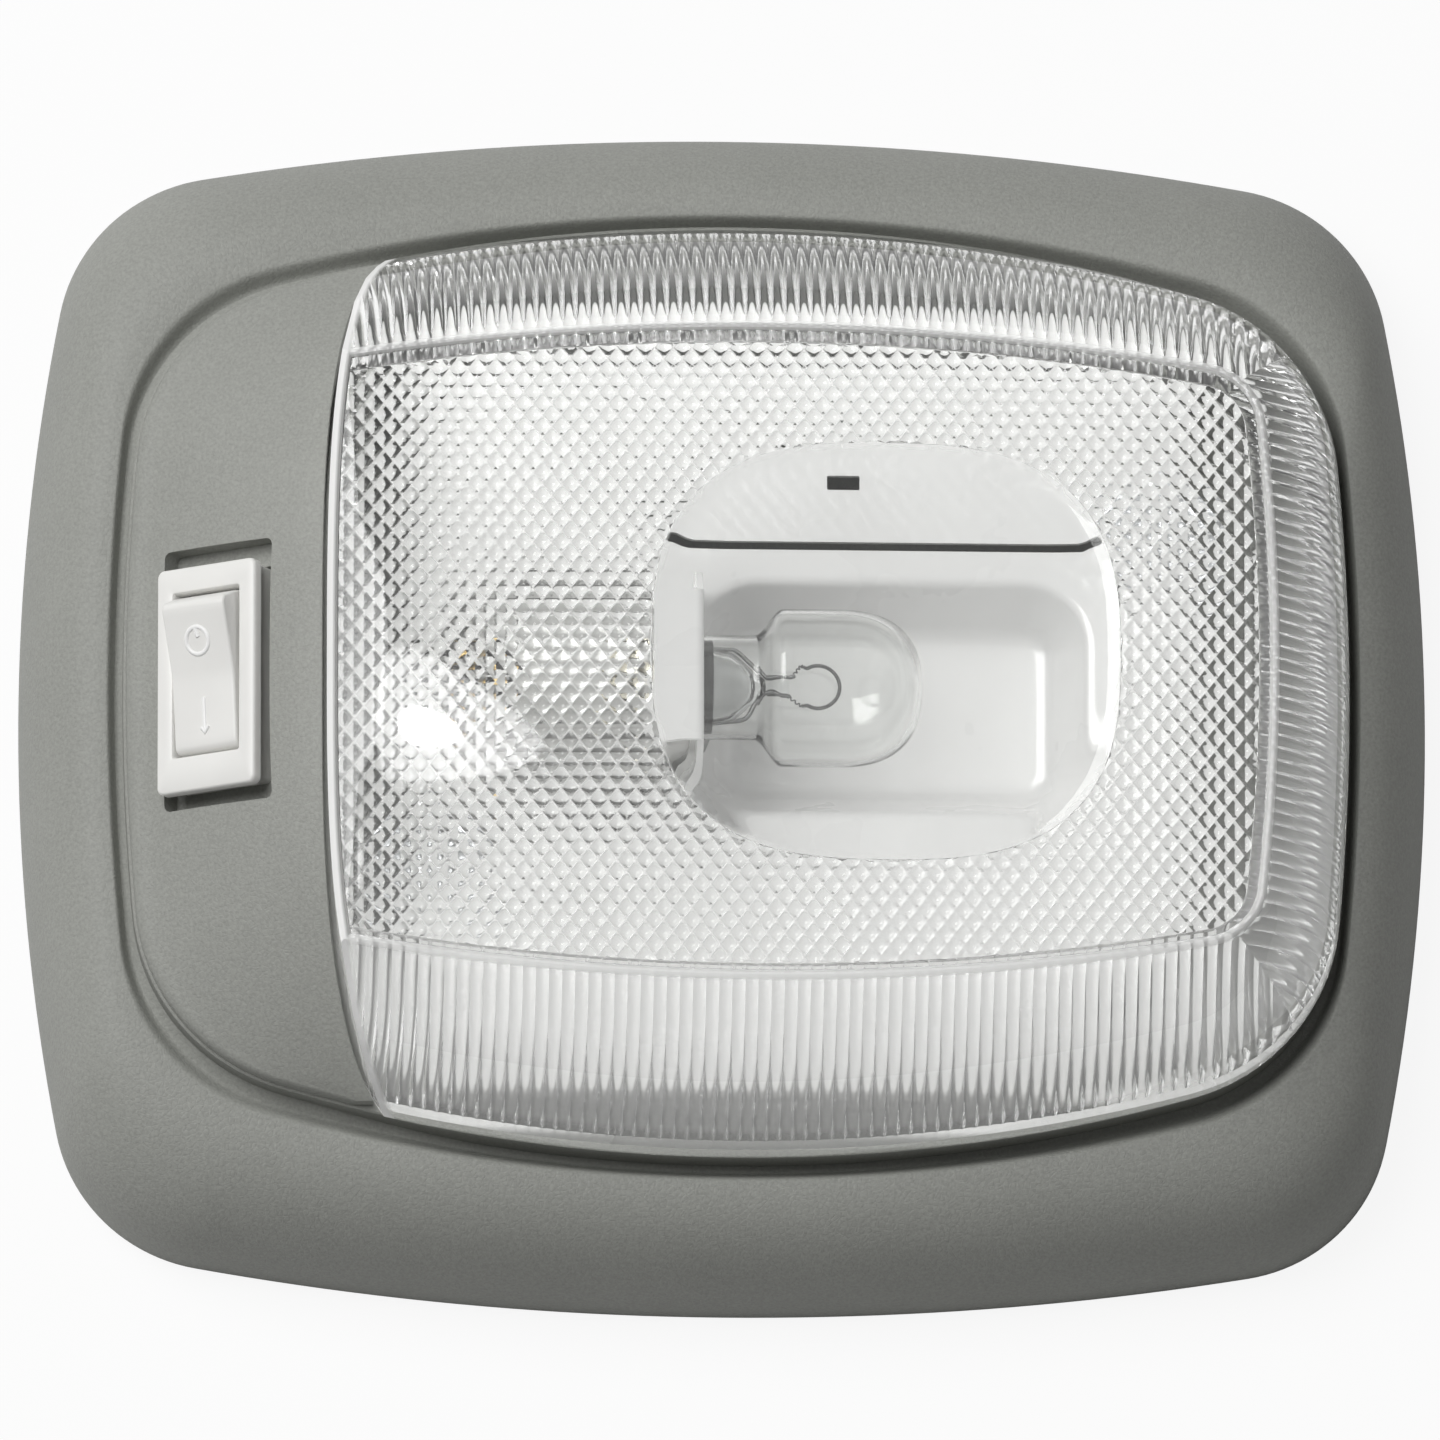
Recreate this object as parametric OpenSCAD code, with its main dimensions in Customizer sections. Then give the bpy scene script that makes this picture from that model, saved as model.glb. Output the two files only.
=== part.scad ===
// Ceiling dome light for a vehicle, 12 V: moulded base, clip-on prismatic lens,
// white reflector, bayonet lamp in its socket and a small snap-in rocker switch.
// The back face lies on Z = 0, the lens looks up along +Z, the switch is at -X.

/* [Base housing] */
// Length of the base along X (mm)
base_length = 165; // [150:1:190]
// Width of the base along Y (mm)
base_width = 141; // [130:1:160]
// Radius of the bowed short sides (mm)
base_side_bow = 263; // [180:1:500]
// Radius of the bowed long sides (mm)
base_end_bow = 362; // [220:1:700]
// Corner radius of the base outline (mm)
base_corner = 20; // [15:1:28]
// Height of the crest of the rim (mm)
rim_height = 17.6; // [14:0.2:19]
// Height of the small upright edge at the ceiling (mm)
rim_edge = 1.6; // [0.8:0.2:3]
// Wall thickness of the base moulding (mm)
base_wall = 2.2; // [1.6:0.1:3]
// Height of the groove bottom beside the lens (mm)
groove_floor = 14.6; // [12:0.2:17]
// Thickness of the floor behind the lamp (mm)
floor_thickness = 2.4; // [1.6:0.1:4]

/* [Dome outline] */
// Length of the dome at its foot along X (mm)
dome_length = 143.6; // [130:0.2:150]
// Width of the dome at its foot along Y (mm)
dome_width = 112; // [100:0.5:120]
// Shift of the dome along X from the base centre (mm)
dome_shift = 0.8; // [-2:0.1:2]
// Height of the foot of the dome above the ceiling (mm)
foot_height = 20; // [18:0.2:22]
// Thickness of the upstand that carries the lens (mm)
upstand_wall = 1.6; // [1.2:0.1:2.4]

/* [Lens] */
// Height of the edge of the lens face (mm)
face_height = 40; // [34:0.5:44]
// Rise of the crowned lens face above its edge (mm)
face_crown = 2.4; // [0.5:0.1:4]
// Half width of the lens face along Y (mm)
face_half_width = 39.6; // [34:0.2:44]
// Distance of the right edge of the lens face from the base centre (mm)
face_right = 63.4; // [58:0.2:66]
// Distance of the upright left wall from the base centre (mm)
lens_left = 47.7; // [44:0.1:50]
// Wall thickness of the lens (mm)
lens_wall = 2.2; // [1.6:0.1:3]
// Outward bulge of the fluted bands (mm)
band_bulge = 1.4; // [0:0.1:3]
// Depth of the flutes inside the bands (mm)
flute_depth = 0.5; // [0.2:0.05:0.8]
// Depth of the locating rib below the lens foot (mm)
rib_depth = 3; // [2:0.2:4.5]
// Width of the snap tongue (mm)
tongue_width = 8; // [6:0.5:12]
// Position of the snap tongue along X (mm)
tongue_x = 13.5; // [-10:0.5:30]

/* [Switch panel] */
// Height of the panel where it meets the lens wall (mm)
panel_height = 35; // [31:0.2:37]
// Wall thickness of the panel (mm)
panel_wall = 2.4; // [1.8:0.1:3.2]
// Distance of the switch centre from the base centre along X (mm)
switch_x = 60.5; // [59:0.1:63]
// Position of the switch centre along Y (mm)
switch_y = -0.7; // [-8:0.1:8]
// Height of the switch centre on the panel (mm)
switch_z = 28.25; // [27:0.1:29]
// Tilt of the switch out of the ceiling plane (deg)
switch_tilt = 35; // [30:0.5:38]

/* [Rocker switch] */
// Width of the switch bezel (mm)
bezel_width = 13.6; // [13:0.1:16]
// Length of the switch bezel (mm)
bezel_length = 28.4; // [26:0.1:30]
// Height of the bezel face above the panel (mm)
bezel_proud = 1.8; // [1:0.1:3]
// Depth of the recess around the switch (mm)
pocket_depth = 3.2; // [2.6:0.1:4]
// Gap between the bezel and the recess (mm)
pocket_gap = 1.4; // [0.6:0.1:1.6]
// Width of the switch body below the bezel (mm)
body_width = 11.6; // [11:0.1:12]
// Length of the switch body below the bezel (mm)
body_length = 25.2; // [23:0.1:26]
// Depth of the switch body below the panel (mm)
body_depth = 9.5; // [9:0.1:9.8]
// Width of the rocker (mm)
rocker_width = 8.6; // [7.6:0.1:9]
// Length of the rocker (mm)
rocker_length = 19.2; // [17:0.1:20]
// Height of the middle of the rocker face above the panel (mm)
rocker_rise = 2.5; // [2.2:0.1:3.2]
// Slope of each half of the rocker face (deg)
rocker_dish = 5.5; // [3:0.5:8]
// Tilt of the rocker either side of level (deg)
rocker_throw = 10.5; // [8:0.5:12]
// Diameter of the rocker pivots (mm)
pivot_diameter = 2.4; // [2:0.1:3]
// Thickness of the contact lever (mm)
lever_thickness = 0.6; // [0.4:0.05:0.8]
// Width of a terminal blade (mm)
blade_width = 4.8; // [4:0.1:6.3]
// Thickness of a terminal blade (mm)
blade_thickness = 0.8; // [0.5:0.1:0.8]

/* [Lamp and socket] */
// Height of the lamp axis above the ceiling (mm)
lamp_height = 21; // [19:0.2:24]
// Position of the front of the reflector end wall along X (mm)
lamp_x = -3.4; // [-8:0.2:2]
// Diameter of the lamp glass (mm)
glass_diameter = 19; // [16:0.2:19.6]
// Length of the lamp glass in front of the cap (mm)
glass_length = 24.5; // [20:0.5:30]
// Thickness of the lamp glass (mm)
glass_wall = 0.7; // [0.4:0.1:1]
// Diameter of the lamp cap (mm)
cap_diameter = 15; // [14.8:0.1:15.2]
// Length of the lamp cap (mm)
cap_length = 15.4; // [14:0.2:17]
// Diameter of the bayonet pins (mm)
pin_diameter = 2; // [1.8:0.1:2.2]
// Thickness of the socket shell (mm)
socket_wall = 0.6; // [0.4:0.1:0.9]
// Length of the socket shell (mm)
socket_length = 22.5; // [21.5:0.1:25]

/* [Reflector] */
// Left edge of the reflector from the base centre along X (mm)
reflector_left = 43; // [38:0.5:44]
// Right edge of the reflector from the base centre along X (mm)
reflector_right = 60; // [50:0.5:62]
// Half width of the reflector along Y (mm)
reflector_half_width = 47; // [40:0.5:48]
// Height of the reflector plate above the ceiling (mm)
plate_height = 16; // [14:0.2:17]
// Thickness of the reflector sheet (mm)
sheet = 0.8; // [0.5:0.1:1.2]
// Length of the lamp trough along X (mm)
trough_length = 45; // [36:0.5:50]
// Width of the lamp trough along Y (mm)
trough_width = 27; // [22:0.5:32]
// Depth of the lamp trough (mm)
trough_depth = 8; // [6:0.2:9]
// Height of the reflector end wall above its plate (mm)
end_wall_height = 15.6; // [14:0.2:17]

/* [Fasteners and wiring] */
// Diameter of the ceiling screw holes (mm)
mount_hole = 4.4; // [3.5:0.1:6]
// Spacing of the ceiling screw holes along X (mm)
mount_pitch_x = 84; // [60:1:90]
// Spacing of the ceiling screw holes along Y (mm)
mount_pitch_y = 72; // [50:1:80]
// Diameter of the cable inlet in the floor (mm)
inlet_diameter = 14; // [8:0.5:20]
// Thread diameter of the reflector screws (mm)
screw_diameter = 3; // [2.5:0.1:3.5]
// Outer diameter of the jumper wire (mm)
wire_diameter = 2.2; // [1.8:0.1:2.6]

/* [Hidden] */
$fn = 48;
// Running and seating clearances
pivot_gap = 0.04;
slide_gap = 0.1;
seat_gap = 0.05;
fit_gap = 0.2;
edge_gap = 0.3;
lens_seat_gap = 0.1;
// Points along each kind of arc of the base outline
side_steps = 4;
corner_steps = 7;
end_steps = 5;
// Columns of the lens skins: coarse outside, finer flutes inside
wall_zone = 2;
main_zone = 22;
mitre_zone = 2;
side_zone = 14;
main_flutes = 6;
wall_flutes = 4;
left_fine = 3;
band_rows = 3;
wall_rows = 2;
// Share of the rim width at which the crest and the groove lie
crest_share = 0.84;
groove_share = 0.95;
lens_bow_side = 300;
lens_bow_end = 190;
lens_corner = 24;
face_bow_side = 260;
face_bow_end = 301;
face_corner = 8;
face_shift = 3;
left_span = 19.7;
left_power = 3.1;
bead_width = 1.2;

// Plain helpers
function mix(a, b, t) = a + (b - a) * t;
function cis(a) = [cos(a), sin(a)];
function clamp(v, lo, hi) = min(hi, max(lo, v));

// An outline of four bowed sides and four corner arcs:
// [x shift, half length, half width, side bow, end bow, corner radius]
base_outline = [0, base_length / 2, base_width / 2, base_side_bow, base_end_bow, base_corner];
dome_outline = [dome_shift, dome_length / 2, dome_width / 2, lens_bow_side, lens_bow_end, lens_corner];
face_outline = [face_shift, face_right - face_shift, face_half_width, face_bow_side, face_bow_end,
                face_corner];
function inset(o, d) = [o[0], o[1] - d, o[2] - d, o[3] - d, o[4] - d, max(0.5, o[5] - d)];
// Centre of the corner arc, tangent inside both bowed sides
function corner_centre(o) =
    let (x1 = o[1] - o[3], y2 = o[2] - o[4], r1 = o[3] - o[5], r2 = o[4] - o[5],
         d = norm([x1, y2]), e = [-x1 / d, y2 / d],
         h = (r1 * r1 - r2 * r2 + d * d) / (2 * d), q = sqrt(r1 * r1 - h * h))
    [x1 + h * e[0] + q * abs(e[1]), h * e[1] + q * abs(e[0])];
function corner_from(o) = let (c = corner_centre(o)) atan2(c[1], c[0] - (o[1] - o[3]));
function corner_to(o) = let (c = corner_centre(o)) atan2(c[1] - (o[2] - o[4]), c[0]);
// First quadrant of the outline, from the side to the end
function quadrant(o) =
    let (c = corner_centre(o), a1 = corner_from(o), a2 = corner_to(o))
    concat([for (i = [0:side_steps - 1]) [o[1] - o[3], 0] + o[3] * cis(a1 * i / side_steps)],
           [for (i = [0:corner_steps - 1]) c + o[5] * cis(mix(a1, a2, i / corner_steps))],
           [for (i = [0:end_steps]) [0, o[2] - o[4]] + o[4] * cis(mix(a2, 90, i / end_steps))]);
function loop(o) =
    let (q = quadrant(o), n = len(q) - 1)
    concat([for (i = [0:n - 1]) [o[0] + q[i][0], q[i][1]]],
           [for (i = [n:-1:1]) [o[0] - q[i][0], q[i][1]]],
           [for (i = [0:n - 1]) [o[0] - q[i][0], -q[i][1]]],
           [for (i = [n:-1:1]) [o[0] + q[i][0], -q[i][1]]]);
// Half width of an outline at x, and half length at y, both from its own centre
function reach_y(o, x) =
    let (c = corner_centre(o), t2 = o[4] * cos(corner_to(o)), t1 = c[0] + o[5] * cos(corner_from(o)),
         u = abs(x))
    u <= t2 ? o[2] - o[4] + sqrt(o[4] * o[4] - u * u)
    : u <= t1 ? c[1] + sqrt(max(0, o[5] * o[5] - (u - c[0]) * (u - c[0])))
    : sqrt(max(0, o[3] * o[3] - pow(u - (o[1] - o[3]), 2)));
function reach_x(o, y) =
    let (c = corner_centre(o), t1 = o[3] * sin(corner_from(o)), t2 = c[1] + o[5] * sin(corner_to(o)),
         u = abs(y))
    u <= t1 ? o[1] - o[3] + sqrt(o[3] * o[3] - u * u)
    : u <= t2 ? c[0] + sqrt(max(0, o[5] * o[5] - (u - c[1]) * (u - c[1])))
    : sqrt(max(0, o[4] * o[4] - pow(u - (o[2] - o[4]), 2)));

// Skin between closed loops of equal length, for a solid swept round an outline
function grid_faces(rows, cols, base = 0) =
    [for (i = [0:rows - 2]) for (j = [0:cols - 1])
        let (k = (j + 1) % cols)
        each [[base + i * cols + j, base + i * cols + k, base + (i + 1) * cols + k],
              [base + i * cols + j, base + (i + 1) * cols + k, base + (i + 1) * cols + j]]];

// Section of the base rim: [share of the way to the dome foot, inset, height]
function rim_section() =
    let (a = upstand_wall + fit_gap, w = base_wall)
    concat([[0, 0, 0]],
           [for (i = [0:6]) let (t = i * 15)
               [crest_share * (1 - cos(t)), 0, rim_edge + (rim_height - rim_edge) * sin(t)]],
           [[mix(crest_share, groove_share, 0.5), 0, rim_height - 0.5],
            [groove_share, 0, groove_floor + 0.8],
            [mix(groove_share, 1, 0.45), 0, groove_floor],
            [1, fit_gap, groove_floor],
            [1, fit_gap, foot_height - lens_seat_gap],
            [1, a, foot_height - lens_seat_gap],
            [1, a, 0],
            [1, fit_gap, 0],
            [1, fit_gap, groove_floor - w],
            [groove_share, 0, groove_floor - w],
            [crest_share, 0, rim_height - w]],
           [for (i = [4:-1:0]) let (t = i * 20)
               [crest_share * (1 - cos(t)), w * cos(t), rim_edge * i / 4 * 1
                + (rim_height - rim_edge - (w - rim_edge) * i / 4) * sin(t) * (i > 0 ? 1 : 0)]]);

module rim() {
    section = rim_section();
    rings = [for (s = section)
        let (o = inset([for (k = [0:5]) mix(base_outline[k], dome_outline[k], s[0])], s[1]))
        [for (p = loop(o)) [p[0], p[1], s[2]]]];
    closed = concat(rings, [rings[0]]);
    cols = len(rings[0]);
    rows = len(rings);
    pts = [for (r = rings) each r];
    faces = [for (i = [0:rows - 1]) for (j = [0:cols - 1])
        let (k = (j + 1) % cols, n = (i + 1) % rows)
        each [[i * cols + j, n * cols + k, i * cols + k],
              [i * cols + j, n * cols + j, n * cols + k]]];
    polyhedron(points = pts, faces = faces, convexity = 8);
}

// The upright left wall of the lens, seen in plan
// The left wall of the lens is thinner than its bands
left_wall_share = 0.5;
function wall_x(y, d = 0) =
    let (e = d * left_wall_share, b = dome_width / 2 - e, s = left_span - e)
    -lens_left + left_span
    - s * pow(max(0, 1 - pow(min(1, abs(y) / b), left_power)), 1 / left_power);
// Where the left wall meets an outline, by halving
function meet(o, d, lo, hi, n) =
    n == 0 ? (lo + hi) / 2
    : let (m = (lo + hi) / 2)
      (o[0] - reach_x(o, m) > wall_x(m, d)) ? meet(o, d, lo, m, n - 1) : meet(o, d, m, hi, n - 1);

// Panel behind the lens, with the partition wall below its high edge
panel_foot = inset(dome_outline, fit_gap + 0.3);
panel_end = meet(panel_foot, 0, 10, dome_width / 2 - 1, 24);
function panel_top(y) =
    foot_height + 1.6 + (panel_height - foot_height - 1.6) * (1 - pow(abs(y) / panel_end, 2.6));
function panel_rise(u) = 1 - pow(1 - u, 1.3);
module panel() {
    ends = [for (i = [-12:12]) panel_end * 0.985 * sin(i * 7.5)];
    us = [0, 0.12, 0.25, 0.4, 0.55, 0.7, 0.85, 1];
    vs = [1, 0.82, 0.64, 0.46, 0.28, 0.1];
    sections = [for (y = ends)
        let (f = panel_foot[0] - reach_x(panel_foot, y), w = wall_x(y) - edge_gap, g = w - f,
             b = min(1.1, g * 0.35), zt = panel_top(y), z0 = foot_height + 1.6,
             t = min(2.2, g * 0.5))
        concat([[f, y, foot_height - 1.6], [f, y, foot_height + 0.7]],
               [for (u = us) [mix(f + b, w, u), y, z0 + (zt - z0) * panel_rise(u)]],
               [[w, y, 0], [w - t, y, 0]],
               [for (v = vs) let (x = mix(f + b, w - t, v), u = (x - f - b) / (w - f - b))
                   [x, y, max(foot_height - 1.6,
                              z0 + (zt - z0) * panel_rise(u) - panel_wall * (1.25 - 0.1 * v))]])];
    cols = len(sections[0]);
    rows = len(sections);
    pts = [for (s = sections) each s];
    faces = concat(
        [for (i = [0:rows - 2]) for (j = [0:cols - 1])
            let (k = (j + 1) % cols)
            each [[i * cols + j, (i + 1) * cols + k, i * cols + k],
                  [i * cols + j, (i + 1) * cols + j, (i + 1) * cols + k]]],
        [[for (j = [0:cols - 1]) j]],
        [[for (j = [cols - 1:-1:0]) (rows - 1) * cols + j]]);
    polyhedron(points = pts, faces = faces, convexity = 8);
}

// Places its children in the plane of the switch: X across, Y along, Z out of the panel
module switch_frame() {
    translate([-switch_x, switch_y, switch_z]) rotate([0, -switch_tilt, 0]) children();
}

module slab(w, l, z0, z1, r = 0) {
    if (r > 0)
        translate([0, 0, z0]) linear_extrude(height = z1 - z0) {
            square([w - 2 * r, l], center = true);
            square([w, l - 2 * r], center = true);
            for (x = [-1, 1], y = [-1, 1])
                translate([x * (w / 2 - r), y * (l / 2 - r)]) circle(r = r, $fn = 24);
        }
    else
        translate([-w / 2, -l / 2, z0]) cube([w, l, z1 - z0]);
}

collar_width = bezel_width + 2 * pocket_gap + 2;
collar_length = bezel_length + 2 * pocket_gap + 1.6;
collar_top = -1.8;
collar_bottom = -pocket_depth - 2;

// Reflector screws stand in two bosses of the floor
boss_spots = [[-reflector_left + 8, -0.45 * reflector_half_width],
              [reflector_right - 9, 0.4 * reflector_half_width]];
boss_diameter = screw_diameter * 2.4;
wire_exit = [-31.4, 0];

module floor_plate() {
    o = inset(dome_outline, upstand_wall - 0.4);
    edge = [for (p = loop(o)) if (p[0] > -lens_left + 8) p];
    top = [for (p = edge) if (p[1] >= 0) p];
    low = [for (p = edge) if (p[1] < 0) p];
    wall = [for (i = [10:-1:-10]) let (y = panel_end * 0.93 * sin(i * 9)) [wall_x(y) - 0.9, y]];
    linear_extrude(height = floor_thickness) polygon(concat(top, wall, low));
}

module base_housing() {
    color([0.56, 0.57, 0.54]) difference() {
        union() {
            rim();
            panel();
            floor_plate();
            switch_frame() slab(collar_width, collar_length, collar_bottom, collar_top);
            for (p = boss_spots)
                translate([p[0], p[1], floor_thickness / 2])
                    cylinder(d = boss_diameter, h = plate_height - floor_thickness / 2);
            for (x = [-1, 1], y = [-1, 1])
                translate([x * mount_pitch_x / 2 + 10, y * mount_pitch_y / 2, 0])
                    cylinder(d = mount_hole * 2.2, h = floor_thickness + 1.2);
        }
        switch_frame() {
            slab(bezel_width + 2 * pocket_gap, bezel_length + 2 * pocket_gap, -pocket_depth, 12, 0.8);
            slab(body_width + 2 * fit_gap, body_length + 2 * edge_gap, -14, 1);
        }
        for (p = boss_spots)
            translate([p[0], p[1], floor_thickness])
                cylinder(d = screw_diameter, h = plate_height, $fn = 32);
        for (x = [-1, 1], y = [-1, 1])
            translate([x * mount_pitch_x / 2 + 10, y * mount_pitch_y / 2, -1])
                cylinder(d = mount_hole, h = floor_thickness + 4, $fn = 32);
        translate([18, 0, -1]) cylinder(d = inlet_diameter, h = floor_thickness + 2);
        // Slot through the partition for the jumper wire
        translate([-lens_left - 6, 1.6, 7]) cube([10, 8.8, 10.6]);
        // Room for the snap tongue of the lens in the groove
        translate([tongue_x - tongue_width / 2 - 0.6, -dome_width / 2 - 0.2, groove_floor])
            cube([tongue_width + 1.2, 1.6, foot_height]);
    }
}

// The lens: skins made of bands that run from the foot to the face, a left wall and the face.
// A skin lies at depth d below the outer surface, and f fine columns make one coarse column.
function band_outline(d, t) =
    let (o = [for (k = [0:5]) mix(dome_outline[k], face_outline[k], t)],
         e = band_bulge * sin(180 * t))
    inset(o, d * mix(1.4, 1, t) - e);
function band_z(d, t) =
    foot_height + (face_height - foot_height) * (t + 0.1 * sin(180 * t)) - d * t;
function face_z(d, x, y) =
    face_height - d
    + face_crown * (1 - pow(abs(x - 7) / 56, 2.4)) * (1 - pow(abs(y) / face_half_width, 2.4));
// Height share at which a point of the left wall meets the band above it
function wall_share(d, y, lo, hi, n) =
    n == 0 ? (lo + hi) / 2
    : let (m = (lo + hi) / 2, o = band_outline(d, m))
      (reach_y(o, wall_x(y, d) - o[0]) < y) ? wall_share(d, y, lo, m, n - 1)
                                            : wall_share(d, y, m, hi, n - 1);
function mitre_share(d, x, off, lo, hi, n) =
    n == 0 ? (lo + hi) / 2
    : let (m = (lo + hi) / 2, o = band_outline(d, m))
      (reach_y(o, x - o[0]) < x - off) ? mitre_share(d, x, off, lo, m, n - 1)
                                       : mitre_share(d, x, off, m, hi, n - 1);
// Corner of the mitre on an outline: the point with x - y = off
function mitre_x(o, off, lo, hi, n) =
    n == 0 ? (lo + hi) / 2
    : let (m = (lo + hi) / 2)
      (reach_y(o, m - o[0]) < m - off) ? mitre_x(o, off, lo, m, n - 1)
                                       : mitre_x(o, off, m, hi, n - 1);
mitre_offset = 25.6;

// Everything that the skin at depth d needs, worked out once:
// [foot meet y, face meet y, mitre x at the foot, mitre x at the face]
function skin(d) =
    let (of = band_outline(d, 0), ot = band_outline(d, 1))
    [meet(of, d, 10, of[2] - 0.3, 26), meet(ot, d, 10, ot[2] - 0.3, 26),
     mitre_x(of, mitre_offset, 40, of[0] + of[1] - 1, 26),
     mitre_x(ot, mitre_offset, 40, ot[0] + ot[1] - 0.3, 26)];

// Columns of the long band: x and the share range that the band has there, [x, t0, t1, kind]
function band_columns(d, s, fw, fm, fc) =
    let (xw0 = wall_x(s[1], d), xw1 = wall_x(s[0], d), nw = wall_zone * fw, nm = main_zone * fm,
         nc = mitre_zone * fc)
    concat([for (i = [0:nw - 1]) let (y = mix(s[1], s[0], i / nw))
               [wall_x(y, d), i == 0 ? 1 : wall_share(d, y, 0, 1, 24), 1, y]],
           [for (i = [0:nm]) [mix(xw1, s[3], i / nm), 0, 1, 0]],
           [for (i = [1:nc]) let (x = mix(s[3], s[2], i / nc))
               [x, 0, i == nc ? 0 : mitre_share(d, x, mitre_offset, 0, 1, 24), 0]]);

function band_point(d, c, t, dip) =
    let (o = band_outline(d, t), y = (c[1] > 0 && t == c[1]) ? c[3] : reach_y(o, c[0] - o[0]))
    [c[0], y - dip * 0.75, band_z(d, t) - (t > 0 ? dip * 0.65 : 0)];
function side_point(d, y, t, dip) =
    let (o = band_outline(d, t))
    [o[0] + reach_x(o, y) - dip * 0.75, y, band_z(d, t) - (t > 0 ? dip * 0.65 : 0)];

// Triangles of a grid of points
function cells(g) =
    [for (i = [0:len(g) - 2]) for (j = [0:len(g[i]) - 2])
        each [[g[i][j], g[i + 1][j], g[i + 1][j + 1]], [g[i][j], g[i + 1][j + 1], g[i][j + 1]]]];
// Triangles between a coarse row and a row with m points for each of its points
function fan(a, b, m) =
    [for (s = [0:len(a) - 2])
        let (h = floor(m / 2))
        each concat([for (q = [0:h - 1]) [a[s], b[s * m + q], b[s * m + q + 1]]],
                    [[a[s], b[s * m + h], a[s + 1]]],
                    [for (q = [h:m - 1]) [a[s + 1], b[s * m + q], b[s * m + q + 1]]])];
function flip(t) = [for (f = t) [f[0], f[2], f[1]]];
function mirror_y(t) = [for (f = t) [for (p = f) [p[0], -p[1], p[2]]]];
function real_only(t) = [for (f = t) if (f[0] != f[1] && f[1] != f[2] && f[0] != f[2]) f];

// Grids of one skin: long band, short band, left wall and the rows on the edge of the face
function long_grid(d, s, fw, fm, fc, dip) =
    let (cs = band_columns(d, s, fw, fm, fc), n = len(cs), last = n - 1,
         mitre = (main_zone * fm) + wall_zone * fw)
    [for (k = [0:last]) let (c = cs[k], deep = (k % 2 == 1) ? dip : 0)
        [for (i = [0:band_rows]) let (t = mix(c[1], c[2], i / band_rows),
                                      at_end = (i == band_rows) && k >= mitre,
                                      at_wall = (i == 0) && k < wall_zone * fw)
            (i == band_rows && k < mitre) || at_wall || k == mitre && i == band_rows
                ? band_point(d, c, t, 0)
            : at_end ? let (p = band_point(d, c, t, 0), q = (t > 0) ? deep * 0.5 : deep * 0.5)
                       [p[0] - q, p[1] - q, p[2] - (t > 0 ? deep * 0.65 : 0)]
            : band_point(d, c, t, deep)]];

function short_grid(d, s, fm, fc, dip) =
    let (yf = s[3] - mitre_offset, nc = mitre_zone * fc, nm = side_zone * fm,
         ys = concat([for (i = [nc:-1:1]) [mix(s[3], s[2], i / nc) - mitre_offset, i]],
                     [for (i = [0:nm]) [mix(yf, -yf, i / nm), 0]],
                     [for (i = [1:nc]) [mitre_offset - mix(s[3], s[2], i / nc), i]]))
    [for (k = [0:len(ys) - 1])
        let (y = ys[k][0], z = ys[k][1], x = abs(y) + mitre_offset,
             t1 = z == 0 ? 1 : z == nc ? 0 : mitre_share(d, x, mitre_offset, 0, 1, 24),
             deep = (((z > 0 ? z : k - nc) + main_zone * 6) % 2 == 1) ? dip : 0)
        [for (i = [0:band_rows]) let (t = mix(0, t1, i / band_rows))
            i == band_rows && z > 0
                ? let (c = [x, 0, t1, 0], p = band_point(d, c, t1, 0), q = deep * 0.5)
                  [p[0] - q, (p[1] - q) * sign(y), p[2] - (t1 > 0 ? deep * 0.65 : 0)]
            : i == band_rows ? side_point(d, y, t, 0)
            : side_point(d, y, t, deep)]];

function wall_grid(d, s, fw, fl) =
    let (nw = wall_zone * fw, nl = side_zone * fl,
         ys = concat([for (i = [0:nw - 1]) [mix(s[0], s[1], i / nw), nw - i]],
                     [for (i = [0:nl]) [mix(s[1], -s[1], i / nl), 0]],
                     [for (i = [1:nw]) [-mix(s[1], s[0], i / nw), i]]))
    [for (v = ys) let (y = v[0], u = abs(y),
                       t = v[1] == nw ? 0 : v[1] == 0 ? 1 : wall_share(d, u, 0, 1, 24))
        [for (i = [0:wall_rows]) [wall_x(u, d), y, band_z(d, t * i / wall_rows)]]];

// The face, filled between its four edges
function face_edge(d, s, fw, fm) = [for (c = band_columns(d, s, fw, fm, 1)) if (c[0] <= s[3]) c];
function face_grid(top, low, left, right, nu, nv, d) =
    [for (i = [0:nu]) [for (j = [0:nv])
        let (u = i / nu, v = j / nv,
             p = mix(top[i], low[i], v) + mix(left[j], right[j], u)
                 - mix(mix(top[0], top[nu], u), mix(low[0], low[nu], u), v),
             rim = i == 0 ? left[j] : i == nu ? right[j] : j == 0 ? top[i] : j == nv ? low[i] : 0)
        rim != 0 ? rim : [p[0], p[1], face_z(d, p[0], p[1])]]];

function every(list, m, k0, k1) = [for (k = [k0:m:k1]) list[k]];
function row_of(g, i) = [for (c = g) c[i]];

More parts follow.
